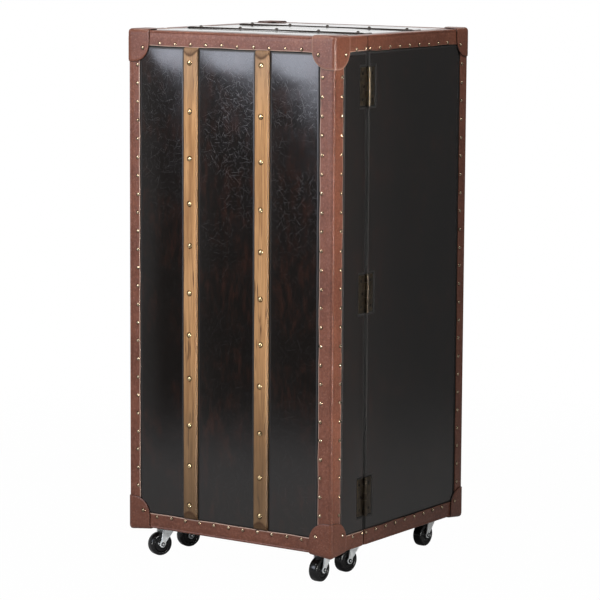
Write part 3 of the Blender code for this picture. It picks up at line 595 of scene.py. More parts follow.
def cap_mesh(corner, inward, lengths, notched, raw_and_painted_light):
    """A shell over a corner: three lobes drawn from the corner, an inner copy of them, and a lip between."""
    points = []
    faces = []
    index = {}
    radius = min(CAP_CORNER, min(lengths) - CAP_STRAIGHT)

    def reach(first, second, s, t):
        """How far along the two axes the lobe goes towards a point of its unit square's outer sides."""
        x, y = s * lengths[first], t * lengths[second]
        share = 1.0
        if notched and 2 not in (first, second):
            if min(x, y) > CAP_NOTCH:
                share = CAP_NOTCH / min(x, y)
        else:
            middle_x, middle_y = lengths[first] - radius, lengths[second] - radius
            if x > middle_x and y > middle_y:
                dot = x * middle_x + y * middle_y
                square = x ** 2 + y ** 2
                beyond = middle_x ** 2 + middle_y ** 2 - radius ** 2
                share = (dot + sqrt(dot ** 2 - square * beyond)) / square
        return x * share, y * share

    def vert(layer, first, second, row, column, shrink, depth):
        """A point of a lobe: depth under its outer face, drawn in by shrink at its free sides."""
        steps = [0, 0, 0]
        steps[first], steps[second] = row, column
        key = (layer, *steps)
        if key in index:
            return index[key]
        flat = [0.0, 0.0, 0.0]
        most = max(row, column)
        if most > 0:
            x, y = reach(first, second, row / most, column / most)
            share = most / CAP_STEPS * (1 - shrink / hypot(x, y))
            flat[first], flat[second] = x * share, y * share
        outer = Vector([value - CAP_RISE * max(0.0, 1 - value / (CAP_ROUND * 1.6)) for value in flat])
        core = Vector([max(value, CAP_ROUND - CAP_RISE) for value in outer])
        place = core + (outer - core).normalized() * (CAP_ROUND - depth)
        if notched:
            sag = max(0.0, 1 - max(place.x, place.y) / lengths[0]) * max(0.0, 1 - place.z / CAP_SAG_TALL)
            place.z -= CAP_SAG * sag
        index[key] = len(points)
        points.append(corner + Matrix.Diagonal(inward) @ place)
        return index[key]

    pairs = ((0, 1), (1, 2), (2, 0))
    whole = range(CAP_STEPS + 1)
    outer_layer, inner_layer = ("outer", CAP_LIP, 0.0), ("inner", 0.0, CAP_THICK)
    for layer, *sunk in (outer_layer, inner_layer):
        for pair in pairs:
            faces += quads([[vert(layer, *pair, row, column, *sunk) for column in whole] for row in whole])
    eased_layer = ("eased", CAP_LIP * 0.3, CAP_LIP * 0.3)
    lip_layers = (outer_layer, eased_layer, ("side", 0.0, CAP_LIP), inner_layer)
    rim = [(CAP_STEPS, column) for column in whole] + [(row, CAP_STEPS) for row in reversed(whole[:-1])]
    for pair in pairs:
        faces += quads([[vert(layer, *pair, *spot, *sunk) for layer, *sunk in lip_layers] for spot in rim])
    # The rim's edge is painted as the cap is given: pale by the hinges, a painted highlight, and dark
    # elsewhere, a painted shade. Its side and foot are painted dark as painted shadow.
    rim_raw_edge_and_painted_light = {"outer": raw_and_painted_light * 0.3, "eased": raw_and_painted_light, "side": -0.9, "inner": -1.0}
    wear_and_painted_light = [rim_raw_edge_and_painted_light[layer] if max(steps) == CAP_STEPS else 0.0 for layer, *steps in index]
    return points, faces, wear_and_painted_light


def cap_welts(corner, inward, lengths):
    """The stitched ridges along the three edges that meet in a cap."""
    apex = CAP_ROUND * (1 - sqrt(0.5)) - CAP_RISE + CAP_WELT * 0.55
    flip = Matrix.Diagonal(inward)
    welts = []
    for axis, way in enumerate((X, Y, Z)):
        start = Vector((apex, apex, apex))
        start[axis] = CAP_WELT_FROM_CORNER
        long = lengths[axis] - CAP_LIP * 2 - CAP_WELT_FROM_CORNER
        profile = [
            (CAP_WELT * 0.4, 0.0), (CAP_WELT, 0.003), (CAP_WELT, long - 0.0008), (CAP_WELT * 0.6, long),
        ]
        welts.append(turned(profile, corner + flip @ start, flip @ way, 10, [CAP_WELT_WORN] * 4))
    return welts


for end, body, y, way_y, *_ in HALVES:
    for side, x, way_x in SIDES:
        for level, z, way_z in LEVELS:
            node = f"corner_cap_{end}_{side}_{level}"
            low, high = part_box(node)
            lengths = [value - CAP_RISE for value in high - low]
            place = (Vector((x, y, z)), Vector((way_x, way_y, way_z)), lengths)
            raw_and_painted_light = HINGE_TOP_CAP_RAW_RIM_AND_HIGHLIGHT if (end, side, level) == ("front", "right", "top") else CAP_RIM_PAINTED_SHADE
            shapes = [cap_mesh(*place, level == "bottom", raw_and_painted_light)]
            if level == "top":
                shapes += cap_welts(*place)
            piece(f"cap_{end}_{side}_{level}", shapes, saddle_leather, body, "brown_leather", node)

# Slats on the door and on the top
# Varnished hardwood laths with eased long edges and both ends scooped down to the bindings, nailed
# through the leather: pale ones up the door, greyer and darker towards the floor and painted greyer near the
# top as a painted sheen, and dark ones on top.
SLAT_EDGE = 0.0034
SLAT_END_THICK = 0.0035
SLAT_SCOOP_SIDE = 0.006
SLAT_SCOOP_MIDDLE = 0.017
SLAT_END_LONG = 0.03
SLAT_END_STATIONS = [0.0, 0.0006, 0.0015, *spread(0.003, 0.024, 0.0015)]
SLAT_END_EASE = 0.0008
SLAT_PITCH = 0.03
SLAT_SCOOP_RIM = 0.005
SLAT_DARKER_FROM = 0.45
SLAT_PAINTED_SHEEN_LONG = 0.22
SLAT_HALF_WIDTH = (-1, -0.99, -0.965, -0.93, -0.885, -0.83, -0.7, -0.45, -0.2)


def slat_wood(name, axis, pale, middle, dark, worn_and_painted_light, rough, gloss, coat, low_end=None):
    """Wood with its grain along an axis. Where a low end is given, it is darker towards there and painted
    greyer near the top as a painted sheen.
    """
    finish = Finish(name)
    figure = finish.grain(axis, 0.05, 85, 4, 0.6, 0.6)
    pores = finish.grain(axis, 0.018, 620, 2, 0.65)
    cracks = finish.grain(axis, 0.07, 190, 2, 0.5)
    stain = finish.noise(7, 3, 0.6)
    coats = [
        (figure.step(0.34, 0.66), *pale), (pores.step(0.52, 0.70) * 0.55, *dark),
        (stain.step(0.50, 0.80) * 0.25, *middle), (cracks.step(0.62, 0.70) * 0.80, *dark),
    ]
    if low_end is not None:
        spot = finish.along(axis)
        # The pale slats are darker towards their low end.
        low = (spot + stain * 0.16 - 0.08 - low_end).step(SLAT_DARKER_FROM, 0.02)
        coats.append((low * 0.80, 0.118, 0.078, 0.045))
        # Near the top the pale slats are painted paler and greyer, a painted sheen.
        high = spot.step(case_high.z - SLAT_PAINTED_SHEEN_LONG, case_high.z)
        coats.append((high * 0.60, 0.300, 0.215, 0.150))
    # Marked down, the bevels take a greyer tone as a painted sheen. Marked up, the scoops are darker.
    coats += [(finish.wear_and_painted_light().step(0.0, -1.0), *worn_and_painted_light), (finish.wear_and_painted_light().over(0.0), *dark)]
    shine = {"Specular IOR Level": gloss, "Coat Weight": coat, "Coat Roughness": 0.10}
    height = pores * 0.6 + figure * 0.4
    return finish.dress(height, 0.0002, finish.layers(middle, *coats), rough + pores * 0.22, shine)


def slat(name, along, across, outward, body, node, material, slot):
    """A lath lofted from end to end, with its back on the leather."""
    low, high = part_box(node)
    length, wide, thick = (abs((high - low).dot(way)) for way in (along, across, outward))
    start = (low + high) / 2 - along * length / 2 - outward * thick / 2
    inner = spread(SLAT_END_LONG, length - SLAT_END_LONG, SLAT_PITCH)
    shares = [*SLAT_HALF_WIDTH, 0, *(-share for share in reversed(SLAT_HALF_WIDTH))]
    rings = []
    wear_and_painted_light = []
    for s in SLAT_END_STATIONS + inner + [length - spot for spot in reversed(SLAT_END_STATIONS)]:
        from_end = min(s, length - s)
        ease = min(1.0, (from_end / SLAT_END_EASE + 1) / 3)
        ring = []
        for share in shares:
            scoop = SLAT_SCOOP_SIDE + (SLAT_SCOOP_MIDDLE - SLAT_SCOOP_SIDE) * (1 - share ** 2)
            part = min(1.0, from_end / scoop)
            full = SLAT_END_THICK + (thick - SLAT_END_THICK) * sin(part * pi / 2) ** 0.85
            edge = max(0.0, 1 - (1 - abs(share)) * wide / 2 / SLAT_EDGE)
            drop = SLAT_EDGE * 0.85 * edge ** 1.7 * full / thick
            ring.append(start + along * s + across * (share * wide / 2) + outward * (full * ease - drop))
            beyond = max(0.0, from_end - scoop)
            # The long bevels are marked for a greyer tone, a painted sheen. The scoops are painted darker,
            # darkest at the arc where they end.
            bevel = -0.55 if abs(share) > 0.9 else 0.0
            wear_and_painted_light.append(0.45 + 0.55 * part ** 3 if part < 1 else max(bevel, 1 - beyond / SLAT_SCOOP_RIM))
        ring += [start + along * s + across * (way * wide / 2) for way in (1, -1)]
        wear_and_painted_light += [0.5, 0.5]
        rings.append(ring)
    return piece(name, [loft(rings, wear_and_painted_light)], material, body, slot, node)


pale_slat_wood = slat_wood(
    "slat_wood_pale", 2, (0.530, 0.296, 0.133), (0.345, 0.178, 0.073), (0.070, 0.034, 0.017),
    (0.260, 0.180, 0.125), 0.38, 0.15, 0.0, span("front_slat_left", 2)[0],
)
dark_slat_wood = slat_wood(
    "slat_wood_dark", 0, (0.045, 0.034, 0.028), (0.024, 0.018, 0.015), (0.010, 0.008, 0.007),
    (0.030, 0.024, 0.020), 0.06, 0.6, 1.0,
)
for side in ("left", "right"):
    slat(f"slat_front_{side}", Z, X, -Y, "door", f"front_slat_{side}", pale_slat_wood, "slat_wood")
for end in ("front", "rear"):
    slat(f"slat_top_{end}", X, Y, Z, "trunk", f"top_slat_{end}", dark_slat_wood, "dark_slat_wood")

# Nails of the bindings, the caps and the slats
# Round brass upholstery nails, driven in by hand, so that no two stand quite alike.
# Those of the door's slats are the largest, and those of the top slats are small and painted dark as
# painted shade.
NAIL_RADIUS = 0.0038
SLAT_NAIL_RADIUS = 0.0052
TOP_NAIL_RADIUS = 0.0034
NAIL_SIDES = 14
NAIL_SINK = 0.0006
NAIL_SHADOW_RING = 1.32
NAIL_DOME = 0.60
NAIL_TILT = 0.05
NAIL_SHIFT = 0.0005
NAIL_FROM_CUT = 0.0058
NAIL_FROM_SPLIT = 0.0075
NAIL_FROM_CAP = 0.0155
LEVEL_NAIL_FROM_CAP = {"bottom": 0.0200, "top": 0.0277}
SIDE_NAIL_FROM_CAP = {"door": 0.0285, "trunk": 0.0360}
LEFT_NAILS_UP = 0.009
CAP_NAIL_ACROSS = 0.66
CAP_NAIL_UP = 0.53
FRONT_SLAT_NAILS = 11
FRONT_SLAT_NAIL_FROM_END = 0.033
FRONT_SLAT_NAILS_DOWN = 0.012
TOP_SLAT_NAILS = 5
TOP_SLAT_NAIL_FROM_END = 0.028
SLAT_NAIL_STRAY = 0.004


def aged_brass(name, bright, dull):
    finish = Finish(name)
    tarnish = finish.noise(240, 3, 0.6)
    # Where its points are marked, round a nail's foot, the brass is painted dark as a painted shadow.
    base = finish.layers(bright, (tarnish.step(0.42, 0.75), *dull), (finish.wear_and_painted_light(), 0.030, 0.018, 0.010))
    roughness = finish.wear_and_painted_light() * 0.4 + tarnish * 0.12 + 0.17
    return finish.dress(tarnish, 0.00005, base, roughness, {"Metallic": 1.0})


brass = aged_brass("aged_brass", (0.840, 0.650, 0.370), (0.450, 0.300, 0.135))
pale_brass = aged_brass("pale_brass", (0.600, 0.465, 0.320), (0.300, 0.205, 0.125))
# A dark copy of the brass, a painted shade, for the nails of the top slats.
brass_in_painted_shade = aged_brass("brass_in_painted_shade", (0.090, 0.075, 0.060), (0.040, 0.032, 0.026))


def nail(spot, outward, radius, number):
    """A domed head in a flat ring painted dark as a painted shadow, a little tilted and shifted by its
    number.
    """
    side = outward.orthogonal().normalized()
    other = outward.cross(side)
    tilt = outward + side * NAIL_TILT * sin(number * 2.4) + other * NAIL_TILT * sin(number * 1.7 + 1)
    tilt = tilt.normalized()
    shift = side * NAIL_SHIFT * sin(number * 3.1) + other * NAIL_SHIFT * sin(number * 5.3 + 2)
    shadow_ring = radius * NAIL_SHADOW_RING
    profile = [(shadow_ring, 0.0), (shadow_ring, NAIL_SINK + 0.0001), (radius * 1.02, NAIL_SINK + 0.0002)]
    for step in range(6):
        turn = pi / 2 * step / 5.6
        profile.append((radius * cos(turn), NAIL_SINK + 0.0004 + radius * NAIL_DOME * sin(turn)))
    # The ring and the foot of the dome are painted dark, a painted shadow.
    wear_and_painted_light = [1.0, 1.0, 1.0, 0.6, 0.0, 0.0, 0.0, 0.0, 0.0]
    return turned(profile, spot + shift - tilt * NAIL_SINK, tilt, NAIL_SIDES, wear_and_painted_light)


for end, body, edge_y, way_y, split_y, widths in HALVES:
    low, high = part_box(f"corner_cap_{end}_left_top")
    cap = high - low
    cap_wide, cap_tall = cap.x - CAP_THICK, cap.z - CAP_THICK
    low_z, high_z = case_low.z + cap_tall + NAIL_FROM_CAP, case_high.z - cap_tall - NAIL_FROM_CAP
    near_y = edge_y + way_y * (cap_wide + SIDE_NAIL_FROM_CAP[body])
    level_inset = BAND_WIDE - NAIL_FROM_CUT
    heads = []
    for (side, x, way_x), wide in zip(SIDES, widths):
        up = LEFT_NAILS_UP if side == "left" else 0.0
        inset = wide - NAIL_FROM_CUT
        for z in spread(low_z + up, high_z + up, NAIL_PITCH):
            heads.append((Vector((x + way_x * inset, edge_y, z)), Y * -way_y))
            heads.append((Vector((x, edge_y + way_y * inset, z)), X * -way_x))
        for y in spread(near_y, split_y - way_y * NAIL_FROM_SPLIT, NAIL_PITCH):
            for _, z, way_z in LEVELS:
                heads.append((Vector((x, y, z + way_z * level_inset)), X * -way_x))
    for level, z, way_z in LEVELS:
        from_corner = cap_wide + LEVEL_NAIL_FROM_CAP[level]
        for x in spread(case_low.x + from_corner, case_high.x - from_corner, NAIL_PITCH):
            heads.append((Vector((x, edge_y, z + way_z * level_inset)), Y * -way_y))
    in_wide, in_tall = cap.x * CAP_NAIL_ACROSS, cap.z * CAP_NAIL_UP
    for _, x, way_x in SIDES:
        for _, z, way_z in LEVELS:
            corner, flip = Vector((x, edge_y, z)), Matrix.Diagonal((way_x, way_y, way_z))
            heads.append((corner + flip @ Vector((in_wide, -CAP_RISE, in_tall)), flip @ -Y))
            heads.append((corner + flip @ Vector((-CAP_RISE, in_wide, in_tall)), flip @ -X))
    shapes = [nail(spot, outward, NAIL_RADIUS, number) for number, (spot, outward) in enumerate(heads)]
    piece(f"nails_{body}_leather", shapes, pale_brass, body, "bronze")

for name, ends, axis, count, from_end, down, outward, body, metal, radius in (
    ("front", ("left", "right"), 2, FRONT_SLAT_NAILS, FRONT_SLAT_NAIL_FROM_END, FRONT_SLAT_NAILS_DOWN,
     -Y, "door", brass, SLAT_NAIL_RADIUS),
    ("top", ("front", "rear"), 0, TOP_SLAT_NAILS, TOP_SLAT_NAIL_FROM_END, 0.0,
     Z, "trunk", brass_in_painted_shade, TOP_NAIL_RADIUS),
):
    shapes = []
    for slat_number, end in enumerate(ends):
        low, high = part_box(f"{name}_slat_{end}")
        for number in range(count):
            spot = (low + high) / 2 + outward * abs((high - low).dot(outward)) / 2
            share = number / (count - 1)
            spot[axis] = low[axis] + from_end + (high[axis] - low[axis] - 2 * from_end) * share
            if 0 < share < 1:
                spot[axis] += SLAT_NAIL_STRAY * sin(number * 2.3 + slat_number) - down
            shapes.append(nail(spot, outward, radius, number + 20 * slat_number))
    piece(f"nails_slats_{name}", shapes, metal, body, "bronze")

# Butt hinges
# Three dark bronzed steel hinges over the split, each two leaves rolled into knuckles about a pin.
# Their leaves lie on the leather, and three screws in a zigzag hold each leaf.
LEAF_THICK = 0.002
LEAF_CORNER = 0.002
LEAF_EASE = 0.0004
LEAF_CLEARANCE = 0.0008
LEAF_RUBBED = 0.4
PLATE_STEPS = 4
LEAF_SCREWS = ((0.60, 0.16), (0.36, 0.50), (0.60, 0.84))
KNUCKLE_RADIUS = 0.005
KNUCKLES = 5
KNUCKLE_GAP = 0.0003
KNUCKLE_TONE_BY_LEVEL = {"upper": 0.15, "middle": -0.3, "lower": -0.5}
WEB_FOOT = 0.0078
WEB_TOP = 0.0030
PIN_RADIUS = 0.0023
PIN_SHORT = 0.001
PIN_HEAD_RADIUS = 0.0040
PIN_HEAD = ((0.6, 0.0), (1.0, 0.0004), (1.0, 0.0012), (0.8, 0.0020), (0.35, 0.0025))
SCREW_RADIUS = 0.0030
SCREW_TALL = 0.0008
SCREW_SLOT = 0.0007
SCREW_DOME = ((1.0, 0.0), (1.0, 0.35), (0.85, 0.75), (0.55, 1.0))
joints = {joint["name"]: joint for joint in frame["joints"]}
hinge_x, hinge_y, _ = joints["door_hinge"]["pos_m"]
hinge_foot = Vector((hinge_x, hinge_y, 0))

finish = Finish("dark_bronze")
patina = finish.noise(120, 4, 0.65)
scratch = finish.grain(2, 0.05, 900, 2, 0.5)
worn_and_painted_light = finish.wear_and_painted_light()
base = finish.layers(
    (0.050, 0.041, 0.031), (patina.step(0.40, 0.70), 0.105, 0.080, 0.052),
    (scratch.step(0.62, 0.75) * 0.6, 0.230, 0.180, 0.115), (worn_and_painted_light, 0.620, 0.500, 0.320),
    (worn_and_painted_light.step(0.0, -1.0), 0.012, 0.010, 0.008),
)
roughness = 0.26 + patina * 0.20 - worn_and_painted_light.over(0.0) * 0.20
bronze = finish.dress(patina + scratch * 0.4, 0.0001, base, roughness, {"Metallic": 0.85})


def rounded_plate(low, high, radius, level, across, along, outward, thick, ease, tone_mark=0.0):
    """A plate with round corners, eased along its outer edge, where it may be rubbed bright."""
    rings = []
    for inset, height in ((0.0, 0.0), (0.0, thick - ease), (ease * 0.3, thick - ease * 0.3), (ease, thick)):
        low_u, low_v = (value + inset + radius for value in low)
        high_u, high_v = (value - inset - radius for value in high)
        ring = []
        middles = ((high_u, high_v), (low_u, high_v), (low_u, low_v), (high_u, low_v))
        for quarter, (u, v) in enumerate(middles):
            for step in range(PLATE_STEPS + 1):
                turn = pi / 2 * (quarter + step / PLATE_STEPS)
                spot_u, spot_v = u + radius * cos(turn), v + radius * sin(turn)
                ring.append(level + across * spot_u + along * spot_v + outward * height)
        rings.append(ring)
    sides = len(ring)
    return loft(rings, [0.0] * (2 * sides) + [tone_mark] * sides + [0.0] * sides)


def screw(spot, across, along, outward, turn, wear_and_painted_light=0.0):
    """A raised screw head in its sink, as two halves with the slot between them."""
    first = across * cos(turn) + along * sin(turn)
    second = along * cos(turn) - across * sin(turn)
    shapes = []
    for way in (1, -1):
        rings = []
        for share, height in SCREW_DOME:
            ring = []
            for step in range(9):
                swing = pi * step / 8
                u = SCREW_RADIUS * share * cos(swing)
                v = SCREW_SLOT / 2 + (SCREW_RADIUS * share - SCREW_SLOT / 2) * sin(swing)
                ring.append(spot + first * u + second * (v * way) + outward * (SCREW_TALL * height))
            rings.append(ring)
        shapes.append(loft(rings, [wear_and_painted_light] * (len(rings) * len(ring))))
    sunk = [(SCREW_RADIUS * 1.2, 0.0), (SCREW_RADIUS * 1.2, SCREW_TALL * 0.2)]
    shapes.append(turned(sunk, spot, outward, 14, [wear_and_painted_light, wear_and_painted_light]))
    return shapes


# The upper hinge's knuckles are rubbed bright, and the lower ones are darker, the more so towards the
# bottom.
for level, tone_mark in KNUCKLE_TONE_BY_LEVEL.items():
    for half, way, body, first_knuckle in (("door", -1, "door", 1), ("body", 1, "trunk", 0)):
        node = f"hinge_{level}_{half}_leaf"
        low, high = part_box(node)
        tall = high.z - low.z
        inner = hinge_y + way * (KNUCKLE_RADIUS + LEAF_CLEARANCE)
        outer = low.y if way < 0 else high.y
        from_y, to_y = sorted((inner, outer))
        shapes = [rounded_plate(
            (from_y, low.z), (to_y, high.z), LEAF_CORNER, X * low.x, Y, Z, X, LEAF_THICK, LEAF_EASE,
            LEAF_RUBBED,
        )]
        web_y = hinge_y + way * WEB_FOOT
        web = (
            (low.x, hinge_y), (low.x, web_y), (low.x + LEAF_THICK, web_y),
            (low.x + LEAF_THICK * 1.5, hinge_y + way * WEB_TOP),
        )
        for number in range(first_knuckle, KNUCKLES, 2):
            z_low = low.z + tall * number / KNUCKLES + KNUCKLE_GAP / 2
            z_high = low.z + tall * (number + 1) / KNUCKLES - KNUCKLE_GAP / 2
            eased = KNUCKLE_RADIUS - LEAF_EASE
            shapes.append(turned([
                (eased, z_low), (KNUCKLE_RADIUS, z_low + LEAF_EASE),
                (KNUCKLE_RADIUS, z_high - LEAF_EASE), (eased, z_high),
            ], hinge_foot, Z, 24, (0.0, tone_mark, tone_mark, 0.0)))
            shapes.append(loft([[(*spot, z) for spot in web] for z in (z_low, z_high)]))
        for number, (share, height) in enumerate(LEAF_SCREWS):
            spot = Vector((low.x + LEAF_THICK, inner + (outer - inner) * share, low.z + tall * height))
            shapes += screw(spot, Y, Z, X, 0.6 + 1.1 * number + 0.5 * way, -1.0)
        piece(f"hinge_leaf_{level}_{half}", shapes, bronze, body, "bronze", node)
    node = f"hinge_{level}_pin"
    pin_low, pin_high = span(node, 2)
    leaf_low, leaf_high = span(f"hinge_{level}_body_leaf", 2)
    shaft = [(PIN_RADIUS, pin_low + PIN_SHORT), (PIN_RADIUS, pin_high - PIN_SHORT)]
    shapes = [turned(shaft, hinge_foot, Z, 12)]
    for z, way in ((leaf_high, 1), (leaf_low, -1)):
        ball = [(PIN_HEAD_RADIUS * share, z + way * height) for share, height in PIN_HEAD]
        shapes.append(turned(ball, hinge_foot, Z, 16))
    piece(f"hinge_pin_{level}", shapes, bronze, "trunk", "bronze", node)

# Swivel casters
# Zinc plated pressed steel: a plate screwed under the case with a ball race, a fork that turns under it,
# and a glossy black wheel that runs on a bolt through the fork's two legs.
PLATE_CORNER = 0.006
PLATE_THICK = 0.0025
PLATE_EASE = 0.0005
PLATE_SCREW_FROM_MIDDLE = 0.0165
RACE_RADIUS = 0.015
RACE_GAP = 0.0003
KINGPIN_RADIUS = 0.004
KINGPIN_HEAD_RADIUS = 0.007
KINGPIN_HEAD_TALL = 0.0015
CROWN_RADIUS = 0.018
CROWN_BORE = 0.0046
CROWN_THICK = 0.003
LEG_THICK = 0.0022
LEG_TOP_WIDE = 0.030
LEG_SHOULDER = 0.004
LEG_FOOT_RADIUS = 0.0075
LEG_INNER = 0.013
LEG_EASE = 0.0005
AXLE_RADIUS = 0.003
AXLE_HEAD_RADIUS = 0.0048
AXLE_HEAD_TALL = 0.0025
AXLE_HEAD = ((1.0, 0.0), (1.0, 0.7), (0.86, 1.0), (0.52, 1.0), (0.46, 0.7), (0.20, 0.7))
WHEEL_WIDE = 0.022
WHEEL_FACE = (
    (0.0034, 0.0007), (0.0085, 0.0007), (0.0092, 0.0), (0.0105, -0.0018), (0.0170, -0.0020),
    (0.0185, -0.0004), (0.0205, 0.0),
)
WHEEL_SHOULDER = ((0.0024, 0.0006), (0.0008, 0.0022), (0.0001, 0.0050))

finish = Finish("zinc_plate")
spangle = finish.node("TexVoronoi", None, {"Vector": finish.place(), "Scale": 420}, out="Color")
shine = finish.node("SeparateColor", None, {0: spangle})
dirt = finish.noise(90, 3, 0.6)
base = finish.layers(
    (0.80, 0.83, 0.84), (shine, 0.91, 0.93, 0.94), (dirt.step(0.55, 0.80) * 0.3, 0.35, 0.35, 0.35),
    (finish.wear_and_painted_light(), 0.030, 0.030, 0.032),
)
roughness = 0.30 + shine * 0.14 + dirt * 0.10
zinc = finish.dress(dirt, 0.0001, base, roughness, {"Metallic": 0.08})


def plastic(name, noise, fade, clean, dusted, depth, rough, rougher):
    """A dark plastic that has dust on it, and is rougher there."""
    finish = Finish(name)
    dust = finish.noise(*noise)
    base = finish.layers(clean, (dust.step(*fade), *dusted))
    return finish.dress(dust, depth, base, rough + dust * rougher)


tyre = plastic("black_tyre", (130, 4, 0.65), (0.50, 0.80), (0.004, 0.004, 0.0045), (0.013, 0.0125, 0.012),
               0.00004, 0.12, 0.16)


def caster(place, holder):
    """The plate, the fork and the wheel of one caster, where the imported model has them."""
    stand = Vector(joints[f"swivel_{place}"]["pos_m"])
    axle = Vector(joints[f"wheel_{place}"]["pos_m"])
    side = Vector(joints[f"wheel_{place}"]["axis"])
    foot = Vector((stand.x, stand.y, 0))
    trail = Vector((axle.x - stand.x, axle.y - stand.y, 0))
    back = trail.normalized()
    low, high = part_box(f"caster_{place}_plate")
    under = high.z - PLATE_THICK
    race_low = stand.z + RACE_GAP
    head_top = low.z + KINGPIN_HEAD_TALL
    shapes = [
        rounded_plate(low.xy, high.xy, PLATE_CORNER, Z * high.z, X, Y, -Z, PLATE_THICK, PLATE_EASE),
        turned([
            (RACE_RADIUS * 1.06, under), (RACE_RADIUS, under - 0.0012), (RACE_RADIUS, race_low + 0.0022),
            (RACE_RADIUS * 0.93, race_low + 0.0006), (RACE_RADIUS * 0.85, race_low),
        ], foot, Z, 28),
        turned([(KINGPIN_RADIUS, race_low), (KINGPIN_RADIUS, low.z)], foot, Z, 12),
        turned([
            (KINGPIN_RADIUS, head_top), (KINGPIN_HEAD_RADIUS, head_top), (0.0068, low.z + 0.0008),
            (KINGPIN_RADIUS, low.z),
        ], foot, Z, 16),
    ]
    for u in (-1, 1):
        for v in (-1, 1):
            spot = Vector((stand.x, stand.y, under)) + (X * u + Y * v) * PLATE_SCREW_FROM_MIDDLE
            shapes += screw(spot, X, Y, -Z, 0.7 * u + 0.4 * v)
    piece(f"caster_plate_{place}", shapes, zinc, holder, "zinc_steel", f"caster_{place}_plate")

    crown_low = stand.z - CROWN_THICK
    shapes = [turned([
        (CROWN_BORE, stand.z), (CROWN_RADIUS * 0.90, stand.z), (CROWN_RADIUS, stand.z - 0.0012),
        (CROWN_RADIUS, crown_low + 0.0004), (CROWN_RADIUS * 0.97, crown_low), (CROWN_BORE, crown_low),
    ], foot, Z, 32)]
    top = crown_low + CROWN_THICK / 2
    half = LEG_TOP_WIDE / 2
    outline = []
    for step in range(13):
        turn = radians(160 + 260 * step / 12)
        outline.append((trail.length + LEG_FOOT_RADIUS * cos(turn), axle.z + LEG_FOOT_RADIUS * sin(turn)))
    outline += [(half, top - LEG_SHOULDER), (half - 0.001, top), (0.0, top + 0.0005), (-half + 0.001, top),
                (-half, top - LEG_SHOULDER)]
    middle_u, middle_v = (sum(values) / len(outline) for values in zip(*outline))
    for way in (1, -1):
        rings = []
        for inset, height in ((0.0, 0.0), (0.0, LEG_THICK * 0.75), (LEG_EASE, LEG_THICK)):
            ring = []
            for u, v in outline:
                share = 1 - inset / hypot(u - middle_u, v - middle_v)
                spot_u, spot_v = middle_u + (u - middle_u) * share, middle_v + (v - middle_v) * share
                ring.append(foot + back * spot_u + Z * spot_v + side * (way * (LEG_INNER + height)))
            rings.append(ring)
        shapes.append(loft(rings))
        bolt = [(AXLE_HEAD_RADIUS * share, AXLE_HEAD_TALL * height) for share, height in AXLE_HEAD]
        at = axle + side * (way * (LEG_INNER + LEG_THICK))
        shapes.append(turned(bolt, at, side * way, 12, (1.0, 1.0, 1.0, 1.0, 0.0, 0.0)))
    shapes.append(turned([(AXLE_RADIUS, -LEG_INNER), (AXLE_RADIUS, LEG_INNER)], axle, side, 16))
    piece(f"caster_fork_{place}", shapes, zinc, f"swivel_{place}", "zinc_steel", f"caster_{place}_fork")

    half = WHEEL_WIDE / 2
    profile = [(radius, half + proud) for radius, proud in WHEEL_FACE]
    profile += [(axle.z - inset, half - sunk) for inset, sunk in WHEEL_SHOULDER]
    profile += [(axle.z, 0.0)] + [(radius, -height) for radius, height in reversed(profile)]
    shapes = [turned(profile, axle, side, 56)]
    piece(f"caster_wheel_{place}", shapes, tyre, f"wheel_{place}", "black_tyre", f"caster_{place}_wheel")


for row_name, holder in (("door", "door"), ("body_front", "trunk"), ("body_rear", "trunk")):
    for side in ("left", "right"):
        caster(f"{row_name}_{side}", holder)

# Bar fittings inside
# Shelves, bottle dividers, a slotted stemware rack and guarded door shelves in walnut veneered board,
# glued and pinned between the boards of the case. A magnetic catch and a steel strike hold the door shut.
repaint(walnut("walnut_shelves", 0, 0.30), "lower_shelf", "upper_shelf", "stemware_rack", "door_shelf_lower",
        "door_shelf_upper")
repaint(walnut("walnut_dividers", 2, 0.30), "bottle_divider_left", "bottle_divider_right")
catch_plastic = plastic("catch_plastic", (800, 2, 0.6), (0.4, 0.7), (0.045, 0.040, 0.036),
                        (0.070, 0.064, 0.058), 0.0001, 0.45, 0.2)
repaint(catch_plastic, "magnetic_catch")
repaint(zinc, "catch_strike")

# Floor, light and camera
# A white floor that fades out into a white background, and a camera where the photograph was taken.
# A large softbox stands in front on the left, one hangs overhead and a small one is on the right.
# Narrow fills light the hinges and the casters.
FLOOR_RADIUS = 2.6
FLOOR_DOWN = 0.0004
FLOOR_FADE = 1.3
FLOOR_FADED = FLOOR_RADIUS * 0.98
FLOOR_WHITE = 0.99
FLOOR_WHITE_IN_GLOSS = 0.06
WHITE = (1.0, 1.0, 1.0, 1.0)
PAPER_GREY = (0.45, 0.45, 0.45, 1.0)
studio = bpy.context.scene
studio.view_settings.view_transform = "Standard"
mesh = bpy.data.meshes.new("floor")
disc = bmesh.new()
bmesh.ops.create_circle(disc, cap_ends=True, radius=FLOOR_RADIUS, segments=96)
disc.to_mesh(mesh)
disc.free()
floor = bpy.data.objects.new("floor", mesh)
floor.location.z = -FLOOR_DOWN
studio.collection.objects.link(floor)
paper = Finish("floor_paper")
along_x, along_y = paper.along("X"), paper.along("Y")
squared = along_x * along_x + along_y * along_y
faded = squared.math("SQRT", squared).step(FLOOR_FADE, FLOOR_FADED)
matt = paper.node("BsdfDiffuse", None, {"Color": PAPER_GREY})
white = paper.node("Emission", None, {"Color": WHITE, "Strength": 1.0})
path = paper.node("LightPath")
seen = path.output("Is Camera Ray").over(path.output("Is Transmission Ray")) * FLOOR_WHITE
seen = seen + path.output("Is Glossy Ray") * FLOOR_WHITE_IN_GLOSS
lit = paper.node("MixShader", None, {0: seen, 1: matt, 2: white})
